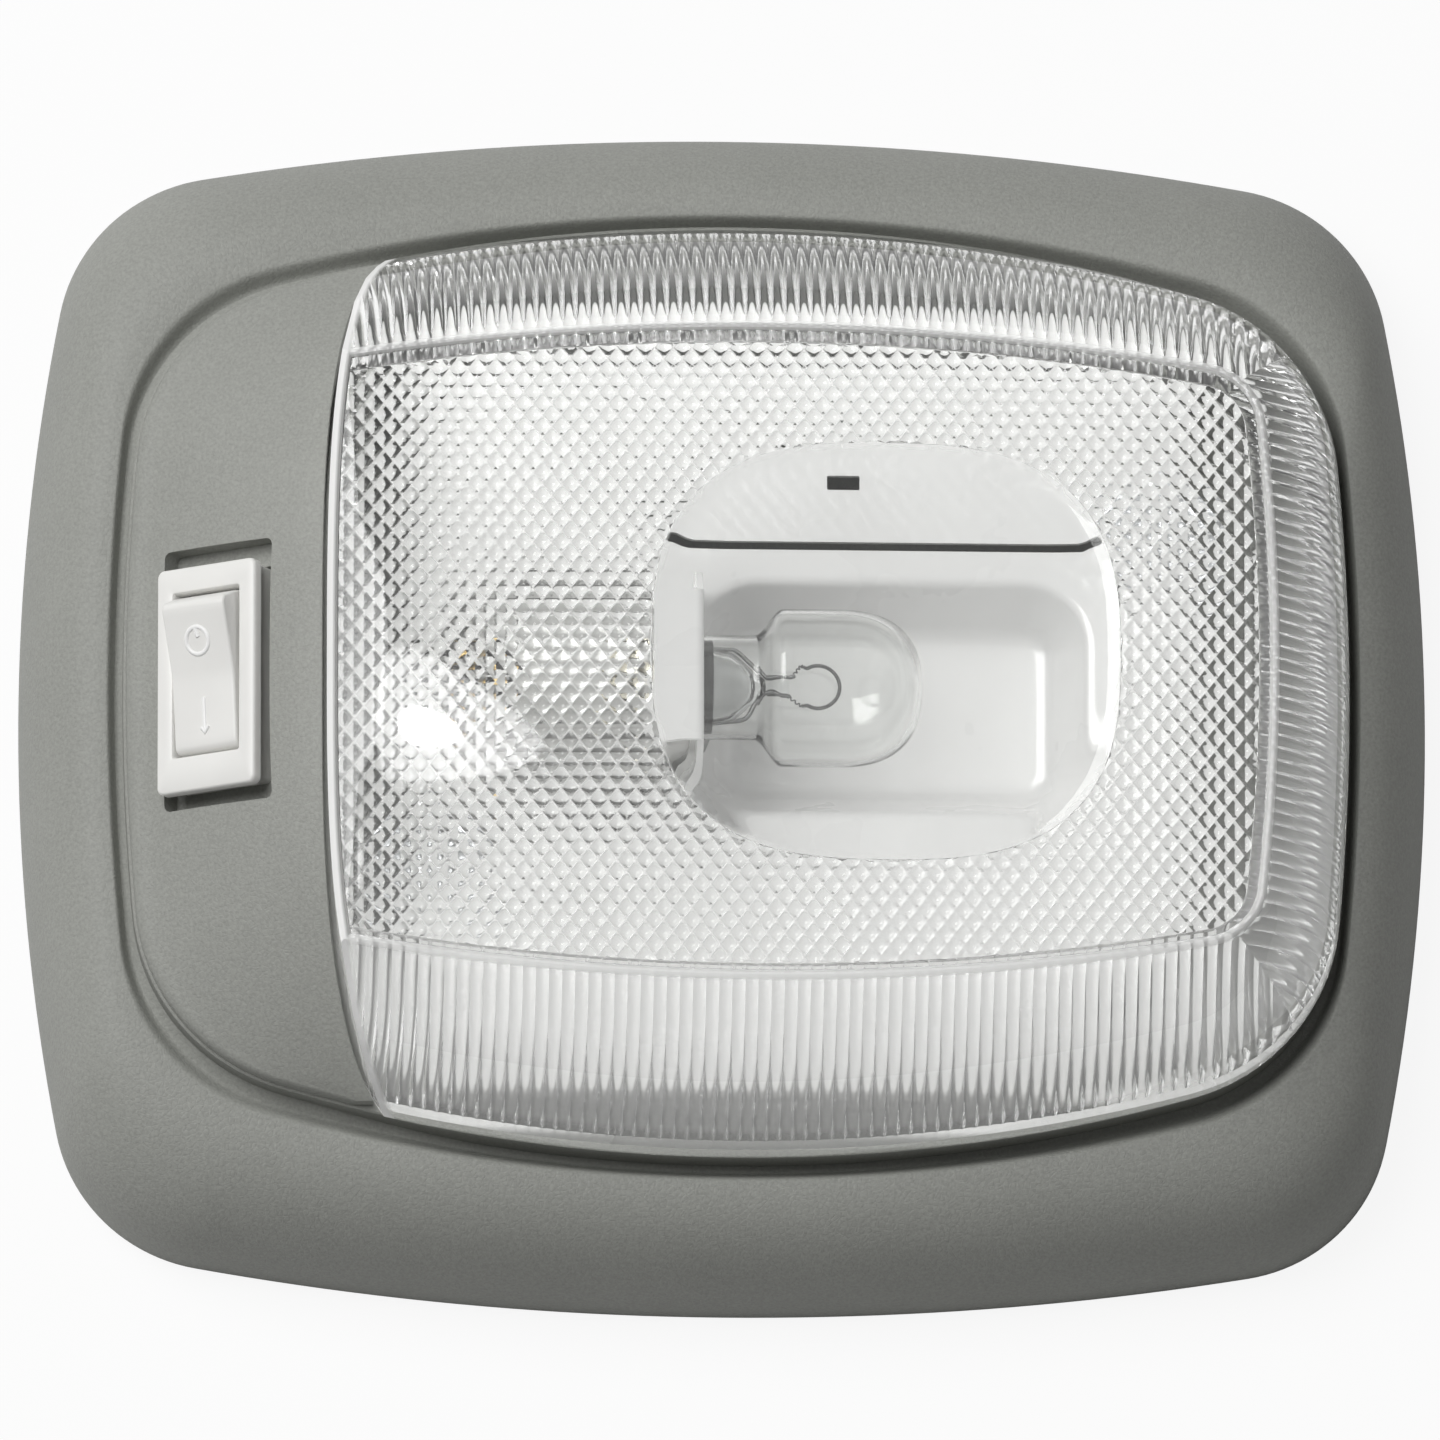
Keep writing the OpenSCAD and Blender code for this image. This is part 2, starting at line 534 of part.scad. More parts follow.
function lens_skin(d, fw, fm, fc, fl, dip) =
    let (s = skin(d),
         lg = long_grid(d, s, fw, fm, fc, dip),
         sg = short_grid(d, s, fm, fc, dip),
         wg = wall_grid(d, s, fw, fl),
         n1 = wall_zone * fw, n2 = n1 + main_zone * fm, nc = mitre_zone * fc, ns = side_zone * fm,
         top = row_of(lg, band_rows), side = row_of(sg, band_rows), left = row_of(wg, wall_rows),
         // Coarse points on the edge of the face
         ct = concat(every(top, fw, 0, n1 - fw), every(top, fm, n1, n2)),
         cr = every(side, fm, nc, nc + ns),
         cl = every(left, fl, n1, n1 + side_zone * fl),
         cb = [for (p = ct) [p[0], -p[1], p[2]]],
         nu = len(ct) - 1, nv = len(cr) - 1,
         // The face starts one bead width inside its edge
         mid = [7, 0, 0],
         in = function (list) [for (p = list) let (q = mix(p, mid, 1.6 * bead_width / norm(p - mid)))
                                   [q[0], q[1], face_z(d, q[0], q[1])]],
         fg = face_grid(in(ct), in(cb), in(cl), in(cr), nu, nv, d),
         it = row_of(fg, 0), ib = row_of(fg, nv), il = fg[0], ir = fg[nu],
         t1 = [for (k = [0:n1]) top[k]], t2 = [for (k = [n1:n2]) top[k]],
         strip_top = concat(fan([for (k = [0:wall_zone]) it[k]], t1, fw),
                            fan([for (k = [wall_zone:nu]) it[k]], t2, fm)))
    concat(flip(cells(lg)), mirror_y(cells(lg)),
           flip(cells(sg)),
           flip(cells(wg)),
           cells(fg),
           flip(strip_top), mirror_y(strip_top),
           flip(fan(ir, [for (k = [nc:nc + ns]) side[k]], fm)),
           fan(il, [for (k = [n1:n1 + side_zone * fl]) left[k]], fl));
// Foot loop of a skin as four runs: long band, short band, mirrored long band, left wall
function foot_runs(d, fw, fm, fc, fl, dip, z) =
    let (s = skin(d), lg = long_grid(d, s, fw, fm, fc, dip), sg = short_grid(d, s, fm, fc, dip),
         wg = wall_grid(d, s, fw, fl), n1 = wall_zone * fw,
         long = [for (k = [n1:len(lg) - 1]) [lg[k][0][0], lg[k][0][1], z]],
         wall = [for (c = wg) [c[0][0], c[0][1], z]])
    [long, [for (c = sg) [c[0][0], c[0][1], z]],
     [for (k = [len(long) - 1:-1:0]) [long[k][0], -long[k][1], z]],
     [for (k = [len(wall) - 1:-1:0]) wall[k]]];
function sew(a, b) =
    [for (r = [0:3]) for (k = [0:len(a[r]) - 2])
        each [[a[r][k], b[r][k], b[r][k + 1]], [a[r][k], b[r][k + 1], a[r][k + 1]]]];

module lens_shell() {
    outer = lens_skin(0, 1, 1, 1, 1, 0);
    inner = lens_skin(lens_wall, wall_flutes, main_flutes, main_flutes, left_fine, flute_depth);
    z = foot_height;
    rib_out = (upstand_wall + fit_gap + edge_gap) / 1.4;
    l0 = foot_runs(0, 1, 1, 1, 1, 0, z);
    l1 = foot_runs(rib_out, 1, 1, 1, 1, 0, z);
    l2 = foot_runs(rib_out, 1, 1, 1, 1, 0, z - rib_depth);
    l3 = foot_runs(lens_wall, 1, 1, 1, 1, 0, z - rib_depth);
    fine = foot_runs(lens_wall, wall_flutes, main_flutes, main_flutes, left_fine, flute_depth, z);
    nw = wall_zone;
    ns = side_zone;
    wall_c = l3[3];
    wall_f = fine[3];
    last = concat(
        fan(l3[0], fine[0], main_flutes), fan(l3[1], fine[1], main_flutes),
        fan(l3[2], fine[2], main_flutes),
        fan([for (k = [0:nw]) wall_c[k]], [for (k = [0:nw * wall_flutes]) wall_f[k]], wall_flutes),
        fan([for (k = [nw:nw + ns]) wall_c[k]],
            [for (k = [0:ns * left_fine]) wall_f[nw * wall_flutes + k]], left_fine),
        fan([for (k = [0:nw]) wall_c[nw + ns + k]],
            [for (k = [0:nw * wall_flutes]) wall_f[nw * wall_flutes + ns * left_fine + k]],
            wall_flutes));
    tris = real_only(concat(outer, flip(inner), sew(l0, l1), sew(l1, l2), sew(l2, l3), last));
    polyhedron(points = [for (t = tris) each t],
               faces = [for (k = [0:len(tris) - 1]) [3 * k, 3 * k + 1, 3 * k + 2]], convexity = 10);
}

module lens() {
    color([0.9, 0.93, 0.95, 0.5]) union() {
        lens_shell();
        // Snap tongue that hangs into the groove
        translate([tongue_x - tongue_width / 2, -dome_width / 2 + 0.15, groove_floor + 0.6])
            cube([tongue_width, 1, foot_height - groove_floor]);
    }
}

// The sheet section swept round a rounded rectangle with its outer size at the profile's origin
module frame_sweep(l, w, r) {
    for (x = [0, 1], y = [0, 1])
        mirror([x, 0, 0]) mirror([0, y, 0]) translate([l / 2 - r, w / 2 - r, 0])
            rotate_extrude(angle = 90, $fn = 48) translate([r, 0]) children();
    for (x = [0, 1])
        mirror([x, 0, 0]) translate([l / 2, w / 2 - r, 0]) rotate([90, 0, 0])
            linear_extrude(height = w - 2 * r) children();
    for (y = [0, 1])
        mirror([0, y, 0]) translate([-l / 2 + r, w / 2, 0]) rotate([90, 0, 90])
            linear_extrude(height = l - 2 * r) children();
}

trough_centre = lamp_x + trough_length / 2;
trough_slope = 4;
module trough_plan(d) {
    slabs = [trough_length - 2 * d, trough_width - 2 * d];
    r = 7 - d;
    translate([trough_centre, 0]) {
        square([slabs[0] - 2 * r, slabs[1]], center = true);
        square([slabs[0], slabs[1] - 2 * r], center = true);
        for (x = [-1, 1], y = [-1, 1])
            translate([x * (slabs[0] / 2 - r), y * (slabs[1] / 2 - r)]) circle(r = r);
    }
}

module reflector() {
    l = reflector_left + reflector_right;
    w = 2 * reflector_half_width;
    cx = (reflector_right - reflector_left) / 2;
    q = plate_height + sheet;
    color([0.96, 0.96, 0.95]) difference() {
        union() {
            // Plate with a stiffening edge turned down all round
            difference() {
                translate([cx, 0, 0]) slab(l, w, plate_height - 2.6, q, 12);
                translate([cx, 0, 0])
                    slab(l - 2 * sheet, w - 2 * sheet, plate_height - 4, plate_height, 12 - sheet);
                translate([0, 0, plate_height - 1]) linear_extrude(height = 3) trough_plan(-0.3);
            }
            translate([trough_centre, 0, 0]) frame_sweep(trough_length, trough_width, 7)
                polygon([[sheet + 0.5, plate_height], [sheet + 0.5, q], [0, q],
                         [-trough_slope + 0.3, q - trough_depth + 0.4],
                         [-trough_slope - 0.7, q - trough_depth],
                         [-trough_slope - 0.7, q - trough_depth - sheet],
                         [-trough_slope + 0.5, q - trough_depth - sheet],
                         [sheet - 0.3, plate_height]]);
            translate([0, 0, q - trough_depth - sheet]) linear_extrude(height = sheet)
                trough_plan(trough_slope + 0.4);
            // End wall that carries the socket, with its folded top
            translate([lamp_x - sheet, -end_wall_half, plate_height])
                cube([sheet, 2 * end_wall_half, end_wall_height + sheet]);
            // Tray pressed down under the socket, closed by the foot of the end wall
            translate([tray_left - sheet, -tray_half - sheet, tray_floor - sheet])
                cube([lamp_x - tray_left + sheet, 2 * (tray_half + sheet), q - tray_floor + sheet]);
            translate([lamp_x - 5, -9, plate_height + end_wall_height]) cube([5, 18, sheet]);
        }
        translate([lamp_x - 3, 0, lamp_height]) rotate([0, 90, 0])
            cylinder(d = cap_diameter + 2.8, h = 5.5);
        translate([tray_left, -tray_half, tray_floor])
            cube([lamp_x - sheet - tray_left, 2 * tray_half, q - tray_floor + 0.3]);
        // Hole for the jumper wire behind the socket
        translate([wire_exit[0] - 1.9, -wire_diameter, plate_height - 1])
            cube([tray_left - sheet - 0.4 - wire_exit[0] + 1.9, 2 * wire_diameter, 3]);
        // Long vent slit and a locating slot above the trough
        translate([-6.4, 17.7, plate_height - 1]) cube([48, 1, 3]);
        translate([11.6, 24.9, plate_height - 1]) cube([3.8, 1.6, 3]);
        for (p = boss_spots)
            translate([p[0], p[1], plate_height - 1]) cylinder(d = screw_diameter + 0.6, h = 3, $fn = 32);
        for (y = [-1, 1])
            translate([lamp_x - 3, y * rivet_offset, lamp_height + rivet_lift]) rotate([0, 90, 0])
                cylinder(d = rivet_diameter, h = 6, $fn = 32);
    }
}

module reflector_screws() {
    color([0.75, 0.76, 0.78]) for (p = boss_spots)
        translate([p[0], p[1], plate_height + sheet]) difference() {
            union() {
                cylinder(d = screw_diameter * 1.9, h = 1.1);
                translate([0, 0, 1.1]) cylinder(d1 = screw_diameter * 1.9, d2 = screw_diameter * 1.1, h = 0.8);
                translate([0, 0, -9]) cylinder(d = screw_diameter - 2 * seat_gap, h = 9.2);
            }
            translate([-0.3, -1.6, 1]) cube([0.6, 3.2, 2]);
            translate([-1.6, -0.3, 1]) cube([3.2, 0.6, 2]);
        }
}

// Lamp parts are turned about the lamp axis, which runs along X
module lamp_axis() {
    translate([lamp_x, 0, lamp_height]) rotate([0, 90, 0]) children();
}
rivet_offset = cap_diameter / 2 + socket_wall + 2.2;
rivet_head = 3;
rivet_lift = plate_height + sheet + rivet_head / 2 + fit_gap - lamp_height;
rivet_diameter = 1.6;
ear_diameter = 3.4;
flange_diameter = cap_diameter + 2 * fit_gap + 2 * socket_wall + 3.6;
end_wall_half = rivet_offset + 2.3;
shell_inner = cap_diameter + 2 * fit_gap;
shell_outer = shell_inner + 2 * socket_wall;
cap_front = -0.6;
pin_z = cap_front - 6.6;
socket_front = -sheet;
socket_back = socket_front - socket_length;
tray_left = lamp_x + socket_back - 1.9;
tray_half = flange_diameter / 2 + edge_gap;
tray_floor = lamp_height - flange_diameter / 2 - 2 * fit_gap;

module lamp_socket() {
    color([0.72, 0.73, 0.72]) lamp_axis() difference() {
        union() {
            translate([0, 0, socket_back]) cylinder(d = shell_outer, h = socket_length);
            // Flange with two ears riveted to the reflector
            translate([0, 0, socket_front - socket_wall]) cylinder(d = flange_diameter, h = socket_wall);
            for (y = [-1, 1])
                translate([-rivet_lift, y * rivet_offset, socket_front - socket_wall])
                    cylinder(d = ear_diameter, h = socket_wall, $fn = 32);
        }
        translate([0, 0, socket_back + socket_wall]) cylinder(d = shell_inner, h = socket_length + 2);
        translate([0, 0, socket_back - 1]) cylinder(d = 7, h = 4);
        // Bayonet slots, each with its side pocket
        for (a = [0, 180]) rotate([0, 0, a]) {
            translate([0, -pin_diameter / 2 - 0.2, pin_z - pin_diameter / 2 - 0.9])
                cube([12, pin_diameter + 0.4, 12]);
            rotate([0, 0, 15]) translate([0, -pin_diameter / 2 - 0.2, pin_z - pin_diameter / 2 - 0.7])
                cube([12, pin_diameter + 0.4, pin_diameter + 0.9]);
        }
        for (y = [-1, 1])
            translate([-rivet_lift, y * rivet_offset, socket_front - socket_wall - 1])
                cylinder(d = rivet_diameter, h = 3, $fn = 32);
    }
}

module socket_rivets() {
    color([0.8, 0.8, 0.78]) lamp_axis() for (y = [-1, 1])
        translate([-rivet_lift, y * rivet_offset, 0]) {
            cylinder(d = rivet_head, h = 0.7, $fn = 32);
            translate([0, 0, socket_front - socket_wall - 0.6])
                cylinder(d = rivet_diameter, h = sheet + socket_wall + 0.7, $fn = 32);
            translate([0, 0, socket_front - socket_wall - 0.7]) cylinder(d = 2.6, h = 0.7, $fn = 32);
        }
}

contact_disc = 0.9;
disc_z = cap_front - cap_length - 1.3 - seat_gap - contact_disc;
tail_z = socket_back - 1.2;
module socket_insulator() {
    color([0.45, 0.3, 0.2]) lamp_axis() translate([0, 0, disc_z - 1.2]) difference() {
        cylinder(d = shell_inner - 2 * slide_gap, h = 1.2);
        translate([0, 0, -1]) cylinder(d = 3 + 2 * slide_gap, h = 4, $fn = 32);
    }
}
module socket_contact() {
    color([0.8, 0.65, 0.3]) lamp_axis() {
        translate([0, 0, disc_z]) cylinder(d = 5, h = contact_disc, $fn = 32);
        translate([0, 0, tail_z]) cylinder(d = 3, h = disc_z - tail_z + 0.1, $fn = 32);
    }
}
module socket_spring() {
    top = disc_z - 1.2;
    low = socket_back + socket_wall;
    turns = 3;
    step = (top - low - 0.6) / turns;
    color([0.7, 0.7, 0.72]) lamp_axis() for (k = [0:turns])
        translate([0, 0, low + 0.3 + k * step]) rotate_extrude($fn = 32) translate([4.6, 0]) circle(d = 0.6, $fn = 16);
}

module bulb_glass() {
    r = glass_diameter / 2;
    n = cap_diameter / 2 - 1;
    g = glass_wall;
    c = glass_length - r;
    k = 7;
    outer = concat([[n, cap_front - 3], [n, 1.2]],
                   [for (i = [1:8]) let (a = i * 90 / 8) [n + (r - n) * (1 - cos(a)) , 1.2 + k * sin(a) * 0.8]],
                   [for (i = [0:12]) let (a = i * 7.5) [r * cos(a), c + r * sin(a) * 0.98]]);
    color([0.9, 0.95, 1, 0.35]) lamp_axis() rotate_extrude($fn = 64) difference() {
        polygon(concat([[0, cap_front - 3]], outer));
        polygon(concat([[0, cap_front - 4], [n - g, cap_front - 4], [n - g, 1.4]],
                       [for (i = [1:8]) let (a = i * 90 / 8)
                           [n - g + (r - n) * (1 - cos(a)), 1.4 + k * sin(a) * 0.8]],
                       [for (i = [0:12]) let (a = i * 7.5) [(r - g) * cos(a), c + (r - g) * sin(a) * 0.98]]));
    }
}

stem_top = 7.6;
module bulb_stem() {
    n = cap_diameter / 2 - 1 - glass_wall - fit_gap;
    color([0.85, 0.9, 0.95, 0.5]) lamp_axis() union() {
        rotate_extrude($fn = 48) polygon([[0, cap_front - 2.6], [n, cap_front - 2.6], [n - 0.4, cap_front - 1],
                                 [n - 2.2, 1.6], [2.6, 4.2], [2, stem_top - 1.4], [0, stem_top - 1]]);
        translate([-1, -2.6, 3.4]) cube([2, 5.2, stem_top - 3.4]);
    }
}

lead_gap = 1.7;
filament_x = 13;
module bulb_lead_wires() {
    color([0.55, 0.55, 0.55]) lamp_axis() for (y = [-1, 1]) {
        translate([0, y * lead_gap, stem_top]) cylinder(d = 0.5, h = filament_x - stem_top - 2.2, $fn = 16);
        translate([0, y * lead_gap, stem_top]) cylinder(d = 0.8, h = 0.4, $fn = 16);
        translate([0, y * lead_gap, filament_x - 2.2]) sphere(d = 0.9, $fn = 24);
    }
}
module bulb_filament() {
    ring = 2.7;
    gap_angle = asin(lead_gap / ring);
    color([0.4, 0.4, 0.42]) lamp_axis() translate([0, 0, filament_x])
        rotate([0, 90, 0]) rotate([0, 0, gap_angle + 11])
            rotate_extrude(angle = 360 - 2 * gap_angle - 22, $fn = 40)
                translate([ring, 0]) circle(d = 0.55, $fn = 16);
}
module bulb_cap() {
    color([0.82, 0.78, 0.6]) lamp_axis() union() {
        translate([0, 0, cap_front - cap_length]) rotate_extrude() difference() {
            polygon([[0, 0], [cap_diameter / 2 - 2, 0], [cap_diameter / 2 - 0.3, 1.6], [cap_diameter / 2, 2.2],
                     [cap_diameter / 2, cap_length], [0, cap_length]]);
            polygon([[0, -1], [4.2, -1], [4.2, 0.6], [cap_diameter / 2 - 2.4, 0.6],
                     [cap_diameter / 2 - 0.7, 2.2], [cap_diameter / 2 - 0.7, cap_length + 1], [0, cap_length + 1]]);
        }
        for (a = [0, 180]) rotate([0, 0, a + 15])
            translate([cap_diameter / 2 - 0.6, 0, pin_z]) rotate([0, 90, 0]) cylinder(d = pin_diameter, h = 1.8, $fn = 32);
    }
}
module bulb_cap_insulator() {
    z = cap_front - cap_length;
    color([0.1, 0.1, 0.12]) lamp_axis() difference() {
        union() {
            translate([0, 0, z - 0.8]) cylinder(d1 = 5.4, d2 = 8.4, h = 0.8);
            translate([0, 0, z]) cylinder(d = 8.4, h = 0.6);
            translate([0, 0, z + 0.6]) cylinder(d = cap_diameter - 5, h = 1.2);
        }
        translate([0, 0, z - 2]) cylinder(d = 2.4, h = 6, $fn = 32);
    }
}
module bulb_contact() {
    z = cap_front - cap_length;
    color([0.75, 0.75, 0.78]) lamp_axis() {
        translate([0, 0, z - 1.3]) cylinder(d1 = 3, d2 = 4.2, h = 0.5, $fn = 32);
        translate([0, 0, z - 0.8]) cylinder(d = 2.4, h = 1.8, $fn = 32);
    }
}

// Switch parts
pivot_z = -1;
opening_width = rocker_width + 2 * fit_gap;
opening_length = rocker_length + 2 * fit_gap;
pocket_reach = 0.9;
floor_z = -body_depth;
lever_z = -7.1;
lever_tilt = 6;
lever_half = 7;
tip_z = pivot_z - 4.4;
blade_end = floor_z - 7;
load_y = 6.3;

module switch_housing() {
    color([0.9, 0.89, 0.86]) switch_frame() difference() {
        union() {
            slab(bezel_width, bezel_length, 0.1, bezel_proud - 0.5, 0.9);
            slab(bezel_width - 0.8, bezel_length - 0.8, 0, bezel_proud, 0.7);
            // Skirt under the flange, on the floor of the recess
            slab(bezel_width - 1.6, bezel_length - 1.6, -pocket_depth, 0.2, 0.5);
            slab(body_width, body_length, floor_z, -pocket_depth);
            // Snap wings that hold the switch in the collar
            for (y = [-1, 1])
                translate([0, y * body_length / 2, 0]) rotate([90, 0, 90])
                    translate([0, 0, -2.4]) linear_extrude(height = 4.8)
                        polygon([[-0.5 * y, collar_bottom - 0.2], [0.9 * y, collar_bottom - 0.2],
                                 [0, collar_bottom - 2.4], [-0.5 * y, collar_bottom - 2.4]]);
        }
        slab(opening_width, opening_length, floor_z + 1.2, bezel_proud + 1, 0.3);
        translate([-opening_width / 2 - pocket_reach, 0, pivot_z]) rotate([0, 90, 0])
            cylinder(d = pivot_diameter + 2 * pivot_gap, h = opening_width + 2 * pocket_reach, $fn = 32);
        for (y = [0, load_y])
            translate([-blade_thickness / 2, y - blade_width / 2, floor_z - 1])
                cube([blade_thickness, blade_width, 4]);
    }
}

module rocker_profile() {
    r = rocker_length / 2;
    z = rocker_rise - pivot_z;
    e = tan(rocker_dish) * (r - 0.6);
    top = [for (y = [-1, -0.75, -0.5, -0.25, 0, 0.25, 0.5, 0.75, 1])
        [(r - 0.6) * y, z + e * pow(abs(y), 1.25)]];
    a0 = asin(2.6 / r);
    polygon(concat([for (i = [0:6]) let (a = 180 + a0 - i * (a0 + asin((z + e - 0.4) / r)) / 6) r * cis(a)],
                   top,
                   [for (i = [0:6]) let (a = asin((z + e - 0.4) / r) - i * (a0 + asin((z + e - 0.4) / r)) / 6)
                       r * cis(a)],
                   [[2.4, -3.4], [-2.4, -3.4]]));
}
module rocker_pose() {
    switch_frame() translate([0, 0, pivot_z]) rotate([rocker_throw, 0, 0]) children();
}
module switch_rocker() {
    color([0.9, 0.89, 0.86]) rocker_pose() difference() {
        union() {
            rotate([90, 0, 90]) translate([0, 0, -rocker_width / 2]) linear_extrude(height = rocker_width)
                rocker_profile();
            translate([-opening_width / 2 - pocket_reach + 0.15, 0, 0]) rotate([0, 90, 0])
                cylinder(d = pivot_diameter, h = opening_width + 2 * pocket_reach - 0.3, $fn = 32);
            translate([0, 0, -4]) cylinder(d = 4, h = 2, $fn = 32);
        }
        translate([0, 0, -6]) cylinder(d = 2.4 + 2 * seat_gap, h = 6.6, $fn = 32);
    }
}
module rocker_plunger() {
    color([0.2, 0.2, 0.22]) rocker_pose() union() {
        translate([0, 0, -4.4]) cylinder(d = 2.4, h = 2, $fn = 32);
        translate([0, 0, -4.4]) sphere(r = 1, $fn = 32);
    }
}
module plunger_spring() {
    turns = 3;
    low = -2.4;
    high = 0.6;
    step = (high - low - 0.35) / turns;
    color([0.7, 0.7, 0.72]) rocker_pose() for (k = [0:turns])
        translate([0, 0, low + 0.175 + k * step]) rotate_extrude($fn = 32) translate([0.85, 0]) circle(d = 0.35, $fn = 16);
}
module contact_lever() {
    color([0.8, 0.6, 0.3]) switch_frame() translate([0, 0, lever_z]) rotate([-lever_tilt, 0, 0]) difference() {
        translate([-1.8, -lever_half, 0]) cube([3.6, 2 * lever_half, lever_thickness]);
        for (x = [-1, 1]) translate([x * 1.8 - 0.4, -0.9, -1]) cube([0.8, 1.8, 3]);
    }
}
module common_terminal() {
    color([0.78, 0.74, 0.6]) switch_frame() union() {
        translate([-blade_thickness / 2, -blade_width / 2, blade_end]) cube([blade_thickness, blade_width, floor_z - blade_end + 1.4]);
        // Rounded knife edge that the lever rocks on
        translate([-1.2, 0, lever_z - 0.3 - seat_gap]) rotate([0, 90, 0]) cylinder(r = 0.3, h = 2.4, $fn = 24);
        translate([-1.2, -0.3, floor_z + 1.2]) cube([2.4, 0.6, lever_z - 0.3 - seat_gap - floor_z - 1.2]);
    }
}
module load_terminal() {
    end_z = lever_z - sin(lever_tilt) * load_y - 0.1;
    color([0.78, 0.74, 0.6]) switch_frame() union() {
        translate([-blade_thickness / 2, load_y - blade_width / 2, blade_end]) cube([blade_thickness, blade_width, floor_z - blade_end + 1.2]);
        translate([0, load_y, floor_z + 1.2]) cylinder(d = 1.6, h = end_z - floor_z - 1.2, $fn = 32);
    }
}
module jumper_terminal() {
    color([0.85, 0.8, 0.6]) switch_frame() translate([0, load_y, blade_end]) union() {
        difference() {
            slab(2.2, blade_width + 1.6, -0.6, 5.4);
            slab(blade_thickness + 2 * seat_gap, blade_width + 2 * seat_gap, 0, 7);
        }
        difference() {
            translate([0, 0, -4]) cylinder(d = wire_diameter + 1.2, h = 3.6, $fn = 32);
            translate([0, 0, -5]) cylinder(d = wire_diameter + 0.3, h = 4.1, $fn = 32);
        }
    }
}

// Tube swept along its points, for a wire
function unit(v) = v / norm(v);
module tube(path, r, sides) {
    n = len(path);
    dirs = [for (i = [0:n - 1]) unit(path[min(n - 1, i + 1)] - path[max(0, i - 1)])];
    rings = [for (i = [0:n - 1])
        let (a = unit(cross(dirs[i], [0, 1, 0])), b = cross(dirs[i], a))
        [for (k = [0:sides - 1]) path[i] + r * (a * cos(k * 360 / sides) + b * sin(k * 360 / sides))]];
    pts = [for (g = rings) each g];
    faces = concat(
        [[for (k = [sides - 1:-1:0]) k]],
        [for (i = [0:n - 2]) for (k = [0:sides - 1]) let (m = (k + 1) % sides)
            each [[i * sides + k, i * sides + m, (i + 1) * sides + m],
                  [i * sides + k, (i + 1) * sides + m, (i + 1) * sides + k]]],
        [[for (k = [0:sides - 1]) (n - 1) * sides + k]]);
    polyhedron(points = pts, faces = faces, convexity = 6);
}
// Smooth curve through the chosen points
function curve(p, n) =
    [for (i = [0:len(p) - 4]) for (k = [0:n - 1]) let (t = k / n, a = p[i], b = p[i + 1], c = p[i + 2], d = p[i + 3])
        0.5 * ((2 * b) + (c - a) * t + (2 * a - 5 * b + 4 * c - d) * t * t + (3 * b - a - 3 * c + d) * t * t * t)];
function in_switch(p) =
    [-switch_x + p[0] * cos(switch_tilt) - p[2] * sin(switch_tilt), switch_y + p[1],
     switch_z + p[0] * sin(switch_tilt) + p[2] * cos(switch_tilt)];
wire_start = in_switch([0, load_y, blade_end - 1]);
wire_next = in_switch([0, load_y, blade_end - 4.2]);
wire_end = [lamp_x + tail_z - 0.1, 0, lamp_height];
module jumper_wire() {
    pts = [wire_start + [-1, 0, 3], wire_start, wire_next, [-49, 5.6, 9.8], [-44, 5, 9.4], [-36, 2, 9.6],
           [-32.6, 0, 11.6], [wire_exit[0], 0, plate_height + 0.4],
           [wire_exit[0] + 0.6, 0, lamp_height - 2.2],
           wire_end - [1.6, 0, 0.4], wire_end, wire_end + [2, 0, 0]];
    color([0.12, 0.12, 0.13]) tube(concat(curve(pts, 3), [wire_end]), wire_diameter / 2 - seat_gap, 8);
}

base_housing();
lens();
reflector();
reflector_screws();
lamp_socket();
socket_rivets();
socket_insulator();
socket_contact();
socket_spring();
bulb_glass();
bulb_stem();
bulb_lead_wires();
bulb_filament();
bulb_cap();
bulb_cap_insulator();
bulb_contact();
switch_housing();
switch_rocker();
rocker_plunger();
plunger_spring();
contact_lever();
common_terminal();
load_terminal();
jumper_wire();
jumper_terminal();
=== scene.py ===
# A 12 V ceiling dome light for a caravan or van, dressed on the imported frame.
# Sizes are in millimetres in the working and become metres when a piece is made.
import math

import bmesh
import bpy
import numpy as np
from mathutils import Matrix, Vector
from mathutils.geometry import delaunay_2d_cdt

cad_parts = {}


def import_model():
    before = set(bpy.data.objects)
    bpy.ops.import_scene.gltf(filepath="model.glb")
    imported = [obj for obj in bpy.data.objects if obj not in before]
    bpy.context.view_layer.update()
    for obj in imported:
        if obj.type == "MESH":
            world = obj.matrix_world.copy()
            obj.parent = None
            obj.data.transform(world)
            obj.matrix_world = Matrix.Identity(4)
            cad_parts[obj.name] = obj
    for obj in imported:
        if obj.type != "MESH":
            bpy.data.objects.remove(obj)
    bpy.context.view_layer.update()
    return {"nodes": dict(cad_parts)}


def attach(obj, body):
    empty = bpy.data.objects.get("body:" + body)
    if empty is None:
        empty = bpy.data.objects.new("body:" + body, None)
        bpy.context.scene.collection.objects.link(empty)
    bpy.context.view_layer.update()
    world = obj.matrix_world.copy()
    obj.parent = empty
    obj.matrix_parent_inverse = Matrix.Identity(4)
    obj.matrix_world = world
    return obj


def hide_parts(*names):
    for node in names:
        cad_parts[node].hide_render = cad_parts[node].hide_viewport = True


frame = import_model()
cad = frame["nodes"]

